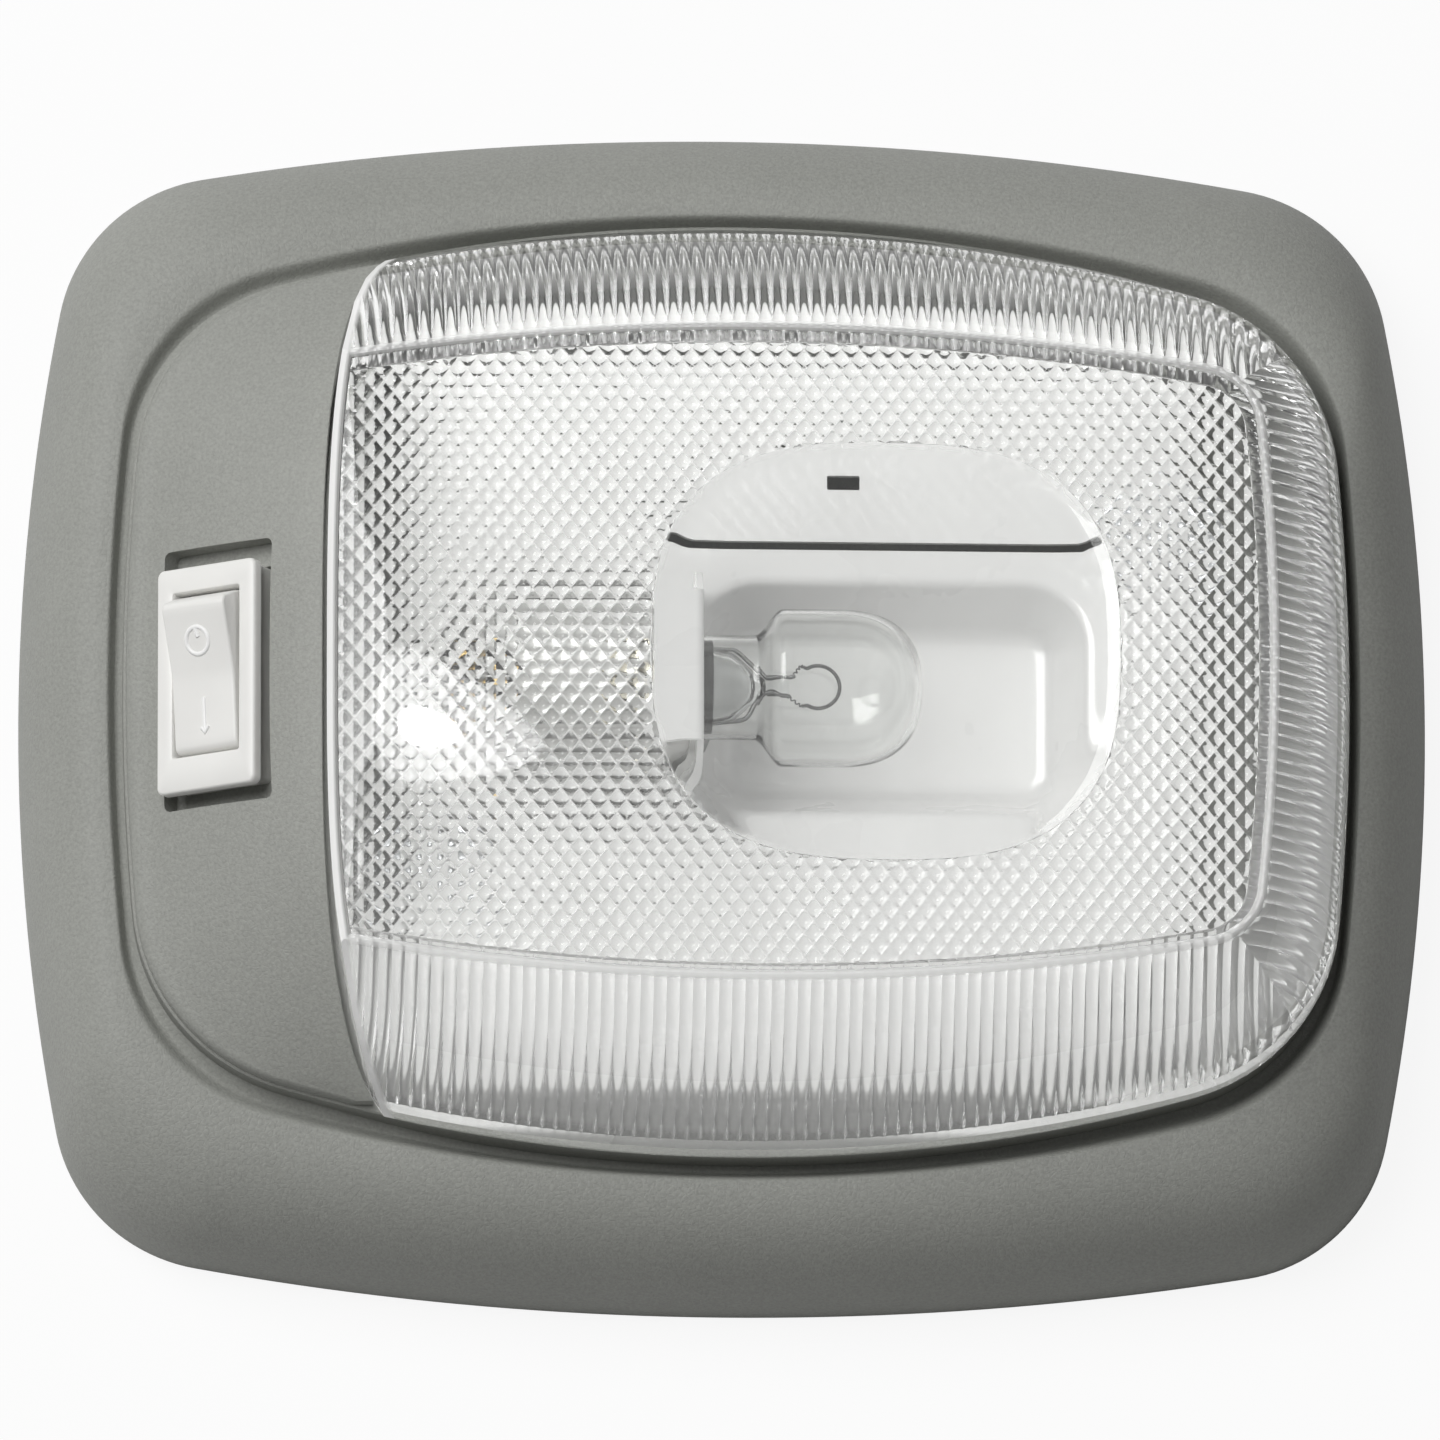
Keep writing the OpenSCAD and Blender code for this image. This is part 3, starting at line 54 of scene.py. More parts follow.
# Camera: it looks nearly straight down on the lens, a little from below and from the
# switch end, through a long lens. Distances are in millimetres from the middle of the base.
across = Vector((1, 0, 0.044)).normalized()
upward = Vector((0, 0.970, 0.242))
upward = (upward - upward.dot(across) * across).normalized()
outward = across.cross(upward)
distance, seen_width = 5000, 168.22
aim = across * -0.17 + upward * 1.46 + outward * 20
place = Matrix((across, upward, outward)).transposed().to_4x4()
place.translation = (aim + outward * distance) * 0.001
camera_data = bpy.data.cameras.new("camera")
camera_data.sensor_width = 36
camera_data.lens = camera_data.sensor_width * distance / seen_width
camera_data.clip_end = 20
camera = bpy.data.objects.new("camera", camera_data)
camera.matrix_world = place
bpy.context.scene.collection.objects.link(camera)
bpy.context.scene.camera = camera
bpy.context.scene.view_settings.view_transform = "Standard"

# Studio: the light lies on a white table, with a large soft lamp to the upper left. The room
# is dim, and white only where the eye looks straight at it or through clear pieces.


def tree_of(thing):
    # An empty node tree to build a finish in, for a material or the world.
    thing.use_nodes = True
    thing.node_tree.nodes.clear()
    return thing.node_tree


def add(tree, kind, inputs=None, **settings):
    # One node with its settings; an input is a value, a socket or a node's first socket.
    made = tree.nodes.new(kind)
    for key, value in settings.items():
        setattr(made, key, value)
    for key, value in (inputs or {}).items():
        if isinstance(value, bpy.types.Node):
            value = value.outputs[0]
        if isinstance(value, bpy.types.NodeSocket):
            tree.links.new(value, made.inputs[key])
        else:
            made.inputs[key].default_value = value
    return made


def sum_of(tree, operation, *values, **settings):
    # A Math node on its one, two or three values.
    return add(tree, "ShaderNodeMath", dict(enumerate(values)), operation=operation, **settings)


def over(tree, share, first, second):
    # The second finish over the first, by its share.
    return add(tree, "ShaderNodeMixShader", {0: share, 1: first, 2: second})


def straight_look(tree):
    # 1 where the eye looks straight at a thing or through clear pieces only, otherwise 0.
    ray = add(tree, "ShaderNodeLightPath").outputs
    through = sum_of(tree, "GREATER_THAN", ray["Transmission Depth"], 0.5)
    either = sum_of(tree, "MAXIMUM", ray["Is Camera Ray"], through)
    return sum_of(tree, "MULTIPLY", either, sum_of(tree, "LESS_THAN", ray["Diffuse Depth"], 0.5))


def white_air(tree, strength):
    return add(tree, "ShaderNodeBackground", {"Color": (1, 1, 1, 1), "Strength": strength})


def studio_air():
    # Behind the lens the room is brighter: its prisms gather light from all round.
    world = bpy.data.worlds.new("studio")
    bpy.context.scene.world = world
    tree = tree_of(world)
    ray = add(tree, "ShaderNodeLightPath").outputs
    behind = sum_of(tree, "GREATER_THAN", ray["Transparent Depth"], 0.5)
    behind = sum_of(tree, "MULTIPLY", behind, ray["Is Diffuse Ray"])
    room = over(tree, behind, white_air(tree, 0.16), white_air(tree, 0.46))
    seen = over(tree, straight_look(tree), room, white_air(tree, 1.0))
    add(tree, "ShaderNodeOutputWorld", {"Surface": seen})


def placed(name, mesh):
    made = bpy.data.objects.new(name, mesh)
    bpy.context.scene.collection.objects.link(made)
    return made


def table_top():
    # The white table keeps the shadow of the light and is lifted to white for the camera.
    half, z = 3.0, -0.0004
    mesh = bpy.data.meshes.new("table_top")
    corners = [(-half, -half, z), (half, -half, z), (half, half, z), (-half, half, z)]
    mesh.from_pydata(corners, [], [(0, 1, 2, 3)])
    paint = bpy.data.materials.new("table white")
    tree = tree_of(paint)
    board = add(tree, "ShaderNodeBsdfDiffuse", {"Color": (0.86, 0.86, 0.86, 1)})
    lift = add(tree, "ShaderNodeEmission", {"Color": (1, 1, 1, 1), "Strength": 1.0})
    share = sum_of(tree, "MULTIPLY", straight_look(tree), 0.9)
    add(tree, "ShaderNodeOutputMaterial", {"Surface": over(tree, share, board, lift)})
    mesh.materials.append(paint)
    placed("table_top", mesh)


def soft_lamp(name, direction, metres, width, height, watts, turn=None):
    # A soft box that faces the middle of the dome light from the given direction; one with a
    # turn is an oval that only mirrors in smooth surfaces.
    data = bpy.data.lights.new(name, "AREA")
    data.shape = "RECTANGLE" if turn is None else "ELLIPSE"
    data.size, data.size_y, data.energy = width, height, watts
    lamp = placed(name, data)
    aim = Vector(direction).normalized()
    side = (Vector((1, 0, 0)) - aim * aim.x).normalized()
    place = Matrix((side, aim.cross(side), aim)).transposed().to_4x4()
    place = place @ Matrix.Rotation(math.radians(turn or 0), 4, "Z")
    place.translation = aim * metres + Vector((0, 0, 0.02))
    lamp.matrix_world = place
    lamp.visible_camera = False
    if turn is not None:
        lamp.visible_diffuse = False
        lamp.visible_transmission = False


studio_air()
table_top()
soft_lamp("key lamp", (-0.50, 0.33, 0.87), 1.4, 1.0, 1.0, 17.2)
# The umbrella and the lamp in it, which mirror in the smooth face of the lens
soft_lamp("umbrella", (-0.1062, 0.2103, 0.9876), 1.42, 0.161, 0.059, 0.17, 151)
soft_lamp("umbrella lamp", (-0.1223, 0.2143, 0.9855), 1.40, 0.060, 0.018, 0.12, 154)

# Base housing: one grey ABS moulding with a fine grain. A broad bowed rim runs down to
# a groove, an upstand carries the lens and a sloping panel holds the switch in a recess.
# Outlines: centre x, half length, half width, radii of the end, of the side and of the corner
BASE = (0, 82.5, 70.5, 263, 362, 20)
DOME = (0.8, 71.8, 56, 300, 190, 24)
FACE = (3, 60.4, 39.6, 260, 301, 8)
FOOT = 20.0


def inset(o, d):
    return (o[0], o[1] - d, o[2] - d, o[3] - d, o[4] - d, max(0.5, o[5] - d))


def between(a, b, t):
    return tuple(u + (v - u) * t for u, v in zip(a, b))


def corner_of(o):
    # Centre of the corner arc and the two angles at which the bowed sides take over.
    x1, y2, r1, r2 = o[1] - o[3], o[2] - o[4], o[3] - o[5], o[4] - o[5]
    d = math.hypot(x1, y2)
    ex, ey = -x1 / d, y2 / d
    h = (r1 * r1 - r2 * r2 + d * d) / (2 * d)
    q = math.sqrt(r1 * r1 - h * h)
    cx, cy = x1 + h * ex + q * abs(ey), h * ey + q * abs(ex)
    return cx, cy, math.atan2(cy, cx - x1), math.atan2(cy - y2, cx)


def loop_of(o, side=16, corner=22, end=20):
    cx, cy, a1, a2 = corner_of(o)
    q = [(o[1] - o[3] + o[3] * math.cos(a1 * i / side), o[3] * math.sin(a1 * i / side)) for i in range(side)]
    for i in range(corner):
        a = a1 + (a2 - a1) * i / corner
        q.append((cx + o[5] * math.cos(a), cy + o[5] * math.sin(a)))
    for i in range(end + 1):
        a = a2 + (math.pi / 2 - a2) * i / end
        q.append((o[4] * math.cos(a), o[2] - o[4] + o[4] * math.sin(a)))
    q = np.array(q)
    n = len(q) - 1
    run = np.vstack([q[:n], q[n:0:-1] * (-1, 1), -q[:n], q[n:0:-1] * (1, -1)])
    return run + (o[0], 0)


def reach_y(o, x):
    cx, cy, a1, a2 = corner_of(o)
    u = np.abs(x)
    t2, t1 = o[4] * math.cos(a2), cx + o[5] * math.cos(a1)
    flat = o[2] - o[4] + np.sqrt(np.maximum(0, o[4] ** 2 - u * u))
    turn = cy + np.sqrt(np.maximum(0, o[5] ** 2 - (u - cx) ** 2))
    side = np.sqrt(np.maximum(0, o[3] ** 2 - (u - (o[1] - o[3])) ** 2))
    return np.where(u <= t2, flat, np.where(u <= t1, turn, side))


def reach_x(o, y):
    cx, cy, a1, a2 = corner_of(o)
    u = np.abs(y)
    t1, t2 = o[3] * math.sin(a1), cy + o[5] * math.sin(a2)
    side = o[1] - o[3] + np.sqrt(np.maximum(0, o[3] ** 2 - u * u))
    turn = cx + np.sqrt(np.maximum(0, o[5] ** 2 - (u - cy) ** 2))
    flat = np.sqrt(np.maximum(0, o[4] ** 2 - (u - (o[2] - o[4])) ** 2))
    return np.where(u <= t1, side, np.where(u <= t2, turn, flat))


# The upright left wall of the lens in plan: x of its ends, its bulge, its half width and how
# square its curve is
WALL_X, WALL_BULGE, WALL_HALF, WALL_POWER = -28.0, 19.7, 56, 3.1


def wall_line(y, d=0.0):
    # The wall's x at y and at depth d; it is half as thick as the bands.
    b, s = WALL_HALF - d / 2, WALL_BULGE - d / 2
    share = np.minimum(1, np.abs(y) / b) ** WALL_POWER
    return WALL_X - s * np.maximum(0, 1 - share) ** (1 / WALL_POWER)


def halve(test, low, high, steps=40):
    # Where a test turns from true to false between low and high, for whole arrays.
    low, high = np.array(low, float), np.array(high, float)
    for _ in range(steps):
        m = (low + high) / 2
        yes = test(m)
        low, high = np.where(yes, m, low), np.where(yes, high, m)
    return (low + high) / 2


def grid(rows, cols, closed_rows=False, closed_cols=False):
    # Four-sided faces between rows of points.
    faces = []
    for i in range(rows if closed_rows else rows - 1):
        for j in range(cols if closed_cols else cols - 1):
            n, k = (i + 1) % rows, (j + 1) % cols
            faces.append((i * cols + j, i * cols + k, n * cols + k, n * cols + j))
    return faces


def object_of(name, points, faces):
    # An object at the origin whose mesh holds the points, given in millimetres.
    mesh = bpy.data.meshes.new(name)
    mesh.from_pydata((np.asarray(points, float) * 0.001).tolist(), [], [list(map(int, f)) for f in faces])
    mesh.validate()
    return placed(name, mesh)


def smooth(made, sharp):
    made.data.polygons.foreach_set("use_smooth", [True] * len(made.data.polygons))
    made.data.set_sharp_from_angle(angle=math.radians(sharp))
    made.data.update()


def settle(made):
    # The modifiers' result becomes the mesh, and the modifiers go.
    graph = bpy.context.evaluated_depsgraph_get()
    graph.update()
    mesh = bpy.data.meshes.new_from_object(made.evaluated_get(graph))
    made.modifiers.clear()
    old = made.data
    made.data = mesh
    bpy.data.meshes.remove(old)
    mesh.name = made.name
    return made


def carve(made, tools, how="DIFFERENCE"):
    # Cuts the tools out of a piece, or joins them to it, and removes them.
    for tool in tools:
        step = made.modifiers.new("carve", "BOOLEAN")
        step.operation = how
        step.solver = "EXACT"
        step.object = tool
    settle(made)
    for tool in tools:
        bpy.data.objects.remove(tool)
    return made


def join(name, parts):
    # One object out of several, each already in place.
    points, faces = [], []
    for part in parts:
        base = len(points)
        points += [v.co * 1000 for v in part.data.vertices]
        faces += [tuple(base + i for i in p.vertices) for p in part.data.polygons]
        bpy.data.objects.remove(part)
    return object_of(name, points, faces)


def outward_faces(made):
    # Turns a closed mesh's faces outwards.
    work = bmesh.new()
    work.from_mesh(made.data)
    bmesh.ops.remove_doubles(work, verts=work.verts, dist=1e-7)
    bmesh.ops.recalc_face_normals(work, faces=work.faces)
    work.to_mesh(made.data)
    work.free()
    return made


def stacked(name, rows, place=None, hollow=False):
    # A skin over rows of as many points each, closed at the top, and below unless it is hollow.
    cols = len(rows[0])
    points = [Vector(p) for row in rows for p in row]
    if place:
        points = [place @ p for p in points]
    faces = grid(len(rows), cols, False, True)
    if not hollow:
        faces.append(tuple(range(cols - 1, -1, -1)))
    faces.append(tuple(range((len(rows) - 1) * cols, len(rows) * cols)))
    return object_of(name, [tuple(p) for p in points], faces)


def tower(name, rings, place=None, steps=6, hollow=False):
    # Rounded oblongs one above another: width, length, corner, height and a shift along X and Y.
    rows = []
    for w, l, r, z, *shift in rings:
        dx, dy = (shift + [0, 0])[:2]
        rows.append([(dx + sx * (w / 2 - r) + r * math.cos(a), dy + sy * (l / 2 - r) + r * math.sin(a), z)
                     for sx, sy, a0 in ((1, 1, 0), (-1, 1, 90), (-1, -1, 180), (1, -1, 270))
                     for a in (math.radians(a0 + 90 * i / steps) for i in range(steps + 1))])
    return stacked(name, rows, place, hollow)


def block(width, length, low, high, radius, place=None, steps=6):
    return tower("block", [(width, length, radius, low), (width, length, radius, high)], place, steps)


def at(x, y, z=0):
    return Matrix.Translation((x, y, z))


def round_at(x, y, low, high, radius, steps=12):
    # An upright round bar, for a hole or a boss.
    return block(2 * radius, 2 * radius, low, high, radius, at(x, y), steps)


def base_rim():
    section = [(0, 0, 0)]
    for i in range(19):
        a = math.radians(i * 5)
        section.append((0.84 * (1 - math.cos(a)), 0, 1.6 + 16.0 * math.sin(a)))
    for i in range(1, 11):
        u = i / 10
        section.append((0.84 + 0.125 * u, 0, 14.6 + 3.0 * (1 + math.cos(math.pi * u ** 1.15)) / 2))
    section += [(1, 0.3, 14.6), (1, 0.2, 14.75), (1, 0.2, 19.7), (1, 0.4, 19.9), (1, 1.6, 19.9),
                (1, 1.8, 19.7), (1, 1.8, 0), (1, 0.2, 0), (1, 0.2, 12.4), (0.95, 0, 12.4), (0.84, 0, 15.4)]
    for i in range(12, -1, -1):
        a = math.radians(i * 90 / 13)
        low = max(0, 1.6 + 16.0 * math.sin(a) - 2.2) if i else 0
        section.append((0.84 * (1 - math.cos(a)), 2.2 * math.cos(a), low))
    rings = []
    for k, (share, d, z) in enumerate(section):
        ring = loop_of(inset(between(BASE, DOME, share), d))
        # At the switch end the groove is shallower and its foot is rounded
        rise = np.clip((-30 - ring[:, 0]) / 16, 0, 1) * (20 <= k <= 31) * 2.2
        rings.append(np.column_stack([ring, z + rise * (max(0, share - 0.84) / 0.16) ** 1.5]))
    cols = len(rings[0])
    return object_of("rim", np.vstack(rings), grid(len(rings), cols, True, True))


PANEL_FOOT, PANEL_LOW = inset(DOME, 0.5), 21.6
panel_end = float(halve(lambda y: PANEL_FOOT[0] - reach_x(PANEL_FOOT, y) > wall_line(y), 55.0, 10.0))


def panel_top(y):
    return PANEL_LOW + 13.4 * (1 - (np.abs(y) / panel_end) ** 2.6)


def base_panel():
    # A lofted skin from the groove up to the lens wall, with its partition below.
    rows = []
    count = 60
    for i in range(-count, count + 1):
        y = panel_end * 0.985 * math.sin(math.pi / 2 * i / count)
        f = float(PANEL_FOOT[0] - reach_x(PANEL_FOOT, y))
        w = float(wall_line(y)) - 0.3
        g = w - f
        b, t, top = min(1.7, g * 0.35), min(2.2, g * 0.5), float(panel_top(y))
        run = [(f, 18.4), (f, 20.6)]
        run += [(f + b * (1 - math.cos(a)), 20.6 + (1.0 + 0.25 * b) * math.sin(a))
                for a in np.radians([20, 42, 62, 80])]
        for u in np.linspace(0.04, 0.985, 26):
            rise = (top - PANEL_LOW) * (1 - (1 - u) ** 1.3)
            run.append((f + b + (g - b) * u, PANEL_LOW + rise + 0.25 * b * (1 - u)))
        run += [(w - 0.12, top - 0.05), (w, top - 0.3), (w, 0), (w - t, 0)]
        for v in (1, 0.82, 0.64, 0.46, 0.28, 0.1):
            x = f + b + (w - t - f - b) * v
            u = (x - f - b) / (w - f - b)
            rise = (top - PANEL_LOW) * (1 - (1 - u) ** 1.3)
            run.append((x, max(18.4, PANEL_LOW + rise - 2.4 * (1.25 - 0.1 * v))))
        rows.append([(x, y, z) for x, z in run])
    cols = len(rows[0])
    faces = [tuple(reversed(q)) for q in grid(len(rows), cols, False, True)]
    faces += [tuple(range(cols)), tuple(range(len(rows) * cols - 1, (len(rows) - 1) * cols - 1, -1))]
    return object_of("panel", [p for r in rows for p in r], faces)


def base_floor():
    # The floor behind the reflector, with four bored bosses for the ceiling screws, the wire hole and two
    # bosses.
    edge = [p for p in loop_of(inset(DOME, 1.2)) if p[0] > -39.7]
    edge.sort(key=lambda p: math.atan2(p[1], p[0] - 10))
    reach = panel_end * 0.93 * np.sin(np.radians(np.linspace(90, -90, 31)))
    wall = [(float(wall_line(y)) - 0.9, y) for y in reach]
    run = [tuple(p) for p in edge] + wall
    n = len(run)
    caps = [tuple(range(n - 1, -1, -1)), tuple(range(n, 2 * n))]
    floor = object_of("floor", [(x, y, z) for z in (0, 2.4) for x, y in run], caps + grid(2, n, False, True))
    ceiling = [(10 + x * 42, y * 36) for x in (-1, 1) for y in (-1, 1)]
    carve(floor, [round_at(x, y, 0.2, 3.6, 4.84) for x, y in ceiling]
          + [round_at(x, y, 0.2, 16, 3.6) for x, y in SCREWS], "UNION")
    return carve(floor, [round_at(x, y, -1, 9, 2.2) for x, y in ceiling] + [round_at(18, 0, -1, 9, 7)])


SCREWS = ((-35, -21.15), (51, 18.8))
switch_place = at(-60.5, -0.7, 28.25) @ Matrix.Rotation(math.radians(-35), 4, "Y")
panel = outward_faces(base_panel())
carve(panel, [block(18.4, 32.8, -5.2, -1.8, 0.6, switch_place)], "UNION")
carve(panel, [block(14.7, 31.2, -3.2, 14, 0.8, switch_place @ at(0.25, 0)),
              block(12.0, 25.8, -14, 1, 0.3, switch_place)])
base = join("base", [base_rim(), panel, base_floor()])


def new_paint(name):
    # An empty material, its tree and the coordinates of the piece that wears it.
    paint = bpy.data.materials.new(name)
    tree = tree_of(paint)
    return paint, tree, add(tree, "ShaderNodeTexCoord").outputs["Object"]


def noise(tree, where, scale, detail, roughness=0.5):
    return add(tree, "ShaderNodeTexNoise", {"Vector": where, "Scale": scale, "Detail": detail,
                                            "Roughness": roughness})


def ramp(tree, value, given=(0, 1), made=(0, 1)):
    # A value taken from one range to another.
    return add(tree, "ShaderNodeMapRange", {"Value": value, "From Min": given[0], "From Max": given[1],
                                            "To Min": made[0], "To Max": made[1]})


def tint(tree, share, first, second, how="MIX"):
    return add(tree, "ShaderNodeMix", {"Factor": share, 6: first, 7: second}, data_type="RGBA",
               blend_type=how).outputs[2]


def grey_abs():
    # Grey ABS from a spark-eroded mould: an even fine grain with soft leather-like creases.
    paint, tree, where = new_paint("grained grey ABS")
    cloud = tint(tree, noise(tree, where, 60.0, 3.0), (0.285, 0.290, 0.268, 1), (0.325, 0.330, 0.306, 1))
    fleck = ramp(tree, noise(tree, where, 2600.0, 2.0), (0.3, 0.7), (0.90, 1.10))
    crease = add(tree, "ShaderNodeTexVoronoi", {"Vector": where, "Scale": 1500.0},
                 feature="DISTANCE_TO_EDGE")
    height = sum_of(tree, "ADD", noise(tree, where, 2600.0, 3.0, 0.6), ramp(tree, crease, (0, 0.16)))
    bump = add(tree, "ShaderNodeBump", {"Height": height, "Strength": 0.25, "Distance": 0.00008})
    skin = {"Base Color": tint(tree, 1.0, cloud, fleck.outputs[0], "MULTIPLY"), "Roughness": 0.55,
            "Specular IOR Level": 0.4, "Normal": bump}
    add(tree, "ShaderNodeOutputMaterial", {"Surface": add(tree, "ShaderNodeBsdfPrincipled", skin)})
    return paint


def coat(made, paint, sharp):
    # One finish all over, and edges that are sharp from the given angle.
    smooth(made, sharp)
    made.data.materials.clear()
    made.data.materials.append(paint)


def put(made, node, body):
    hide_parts(node)
    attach(made, body)


coat(base, grey_abs(), 32)
put(base, "base_housing", "housing")

# Lens: one clear acrylic moulding, smooth outside. Inside it has half-round flutes on its
# sloping bands, a field of small pyramids on its face and a smooth window over the lamp.
LENS_WALL = 2.2
PITCH = 1.52


def band(d, t):
    return inset(between(DOME, FACE, t), d * (1.4 - 0.4 * t) - 1.4 * math.sin(math.pi * t))


def band_height(d, t):
    return FOOT + 20 * (t + 0.1 * np.sin(math.pi * t)) - d * t


def face_height(d, x, y):
    x = np.clip(np.abs((x - 7) / 56), 0, 1)
    return 40 - d + 2.4 * (1 - x ** 2.4) * (1 - np.clip(np.abs(y / 39.6), 0, 1) ** 2.4)


def wall_reach(x, d):
    # The wall's y at x and at depth d.
    w = np.clip((WALL_X - x) / (WALL_BULGE - d / 2), 0, 1)
    return (WALL_HALF - d / 2) * (1 - w ** WALL_POWER) ** (1 / WALL_POWER)


def share_at(d, x, y_of):
    # Share of the way up the band at which the column at x meets the line y_of(x).
    slide = FACE[0] - DOME[0]

    def before(t):
        reach = np.array([float(reach_y(band(d, s), u - DOME[0] - slide * s)) for s, u in zip(t, x)])
        return reach > y_of(x)

    return halve(before, np.zeros(len(x)), np.ones(len(x)), 26)


MITRE = 25.6


def lens_skin(d, per_flute, rows):
    # One skin of the lens at depth d, as points with how far each takes part in a flute.
    foot, top = band(d, 0), band(d, 1)
    y_foot = float(halve(lambda y: foot[0] - reach_x(foot, y) < wall_line(y, d), 10.0, foot[2] - 0.3))
    y_face = float(halve(lambda y: top[0] - reach_x(top, y) < wall_line(y, d), 10.0, top[2] - 0.3))
    xm_foot = float(halve(lambda x: reach_y(foot, x - foot[0]) > x - MITRE, 40.0, foot[0] + foot[1] - 1))
    xm_face = float(halve(lambda x: reach_y(top, x - top[0]) > x - MITRE, 40.0, top[0] + top[1] - 0.3))
    x_foot, x_face = float(wall_line(y_foot, d)), float(wall_line(y_face, d))
    step = PITCH / per_flute
    ks = np.arange(math.ceil((x_face - xm_face) / step), math.floor((xm_foot - xm_face) / step) + 1)
    xs = xm_face + ks * step
    ends = [x_face, x_foot, xm_face, xm_foot]
    xs = np.array(sorted(set(ends + [x for x in xs if min(abs(x - s) for s in ends) > step * 0.3])))
    low = np.zeros(len(xs))
    walled = xs < x_foot - 1e-6
    low[walled] = share_at(d, xs[walled], lambda x: wall_reach(x, d))
    low[np.abs(xs - x_face) < 1e-6] = 1
    high = np.ones(len(xs))
    past = xs > xm_face + 1e-6
    high[past] = share_at(d, xs[past], lambda x: x - MITRE)
    high[np.abs(xs - xm_foot) < 1e-6] = 0
    patches = []

    def rib_of(x):
        s = ((x - xm_face) / PITCH) % 1.0
        return 1 - (2 * s - 1) ** 2

    def columns(xs, low, high, side):
        points, ribs, push = [], [], []
        for x, t0, t1 in zip(xs, low, high):
            for i in range(rows + 1):
                t = t0 + (t1 - t0) * i / rows
                spots = []
                for s in (t, t + 1e-3):
                    o = band(d, s)
                    if side:
                        yy = x - MITRE
                        spots.append((o[0] + float(reach_x(o, yy)), yy, float(band_height(d, s))))
                    else:
                        spots.append((x, float(reach_y(o, x - o[0])), float(band_height(d, s))))
                (ax, ay, az), (bx, by, bz) = spots
                run = (bx - ax) if side else (by - ay)
                rise = bz - az
                size = math.hypot(run, rise)
                points.append(spots[0])
                push.append((-rise / size, 0, run / size) if side else (0, -rise / size, run / size))
                ribs.append(0 if (t0 > 0 and i == 0) else rib_of(x))
        return np.array(points), np.array(ribs), np.array(push)

    long = columns(xs, low, high, False)
    n = rows + 1
    faces = grid(len(xs), n)
    patches.append((long[0], faces, long[1], long[2]))
    flip = np.array((1, -1, 1))
    patches.append((long[0] * flip, [tuple(reversed(f)) for f in faces], long[1], long[2] * flip))
    # The short band: columns at constant y, met by the long bands at the two mitres
    up = [(x, t) for x, t in zip(xs, high) if x > xm_face + 1e-6]
    ym = xm_face - MITRE
    count = int(round(2 * ym / step))
    middle = [(y, 1.0) for y in np.linspace(ym, -ym, count + 1)]
    ys = [(x - MITRE, t) for x, t in reversed(up)] + middle + [(MITRE - x, t) for x, t in up]
    points, ribs, push = [], [], []
    for y, t1 in ys:
        got = columns([abs(y) + MITRE], [0], [t1], True)
        got[0][:, 1] = y
        if t1 < 1 or abs(abs(y) - ym) < 1e-6:
            s = abs(y) + MITRE
        else:
            s = xm_face + (y - ym) / (2 * ym) * round(2 * ym / PITCH) * PITCH
        points.append(got[0])
        ribs.append(np.full(n, rib_of(s)))
        push.append(got[2])
    patches.append((np.vstack(points), grid(len(ys), n), np.concatenate(ribs), np.vstack(push)))
    # The upright left wall, from the foot to the band above it or to the face
    zone = [(float(wall_reach(x, d)) if x > x_face + 1e-6 else y_face, float(band_height(d, t)))
            for x, t in zip(xs, low) if x <= x_foot + 1e-6]
    zone[-1] = (y_foot, FOOT)
    left = int(2 * y_face / 2.0)
    crest = np.linspace(y_face, -y_face, left + 1)[1:-1]
    walls = zone[::-1] + [(y, float(band_height(d, 1.0))) for y in crest]
    walls += [(-y, z) for y, z in zone]
    points = []
    for y, z in walls:
        for i in range(5):
            points.append((float(wall_line(y, d)), y, FOOT + (z - FOOT) * i / 4))
    faces = [tuple(reversed(f)) for f in grid(len(walls), 5)]
    patches.append((np.array(points), faces, np.zeros(len(points)), np.tile((1.0, 0, 0), (len(points), 1))))
    # Loops: the foot and the edge of the face, run round the same way
    foot_long = [(x, float(reach_y(foot, x - foot[0]))) for x in xs if x >= x_foot - 1e-6]
    foot_side = [(foot[0] + float(reach_x(foot, y)), y) for y, t in ys]
    face_long = [(x, float(reach_y(top, x - top[0]))) for x in xs if x <= xm_face + 1e-6]
    face_side = [(top[0] + float(reach_x(top, y)), y) for y, t in middle]
    foot_loop = foot_long + foot_side[1:-1] + [(x, -y) for x, y in reversed(foot_long)]
    foot_loop += [(float(wall_line(y, d)), y) for y, z in reversed(walls)][1:-1]
    face_loop = face_long + face_side[1:-1] + [(x, -y) for x, y in reversed(face_long)]
    face_loop += [(float(wall_line(y, d)), y) for y in np.linspace(-y_face, y_face, left + 1)[1:-1]]
    return patches, foot_loop, face_loop


def welded(patches):
    # One set of points out of patches that share their edges; what they carry is averaged.
    points, layers, push = (np.vstack([p[k] for p in patches]) for k in (0, 2, 3))
    key = np.round(points, 3) + 0.0
    _, first, back = np.unique(key, axis=0, return_index=True, return_inverse=True)
    back = back.reshape(-1)
    faces, base = [], 0
    for p in patches:
        for f in p[1]:
            f = [int(back[base + i]) for i in f]
            f = [v for i, v in enumerate(f) if v != f[i - 1]]
            if len(set(f)) > 2:
                faces.append(tuple(f))
        base += len(p[0])
    layers, push = (np.column_stack([np.bincount(back, c) for c in table.T]) for table in (layers, push))
    layers /= np.bincount(back)[:, None]
    push /= np.maximum(1e-9, np.linalg.norm(push, axis=1))[:, None]
    return points[first], faces, layers, push


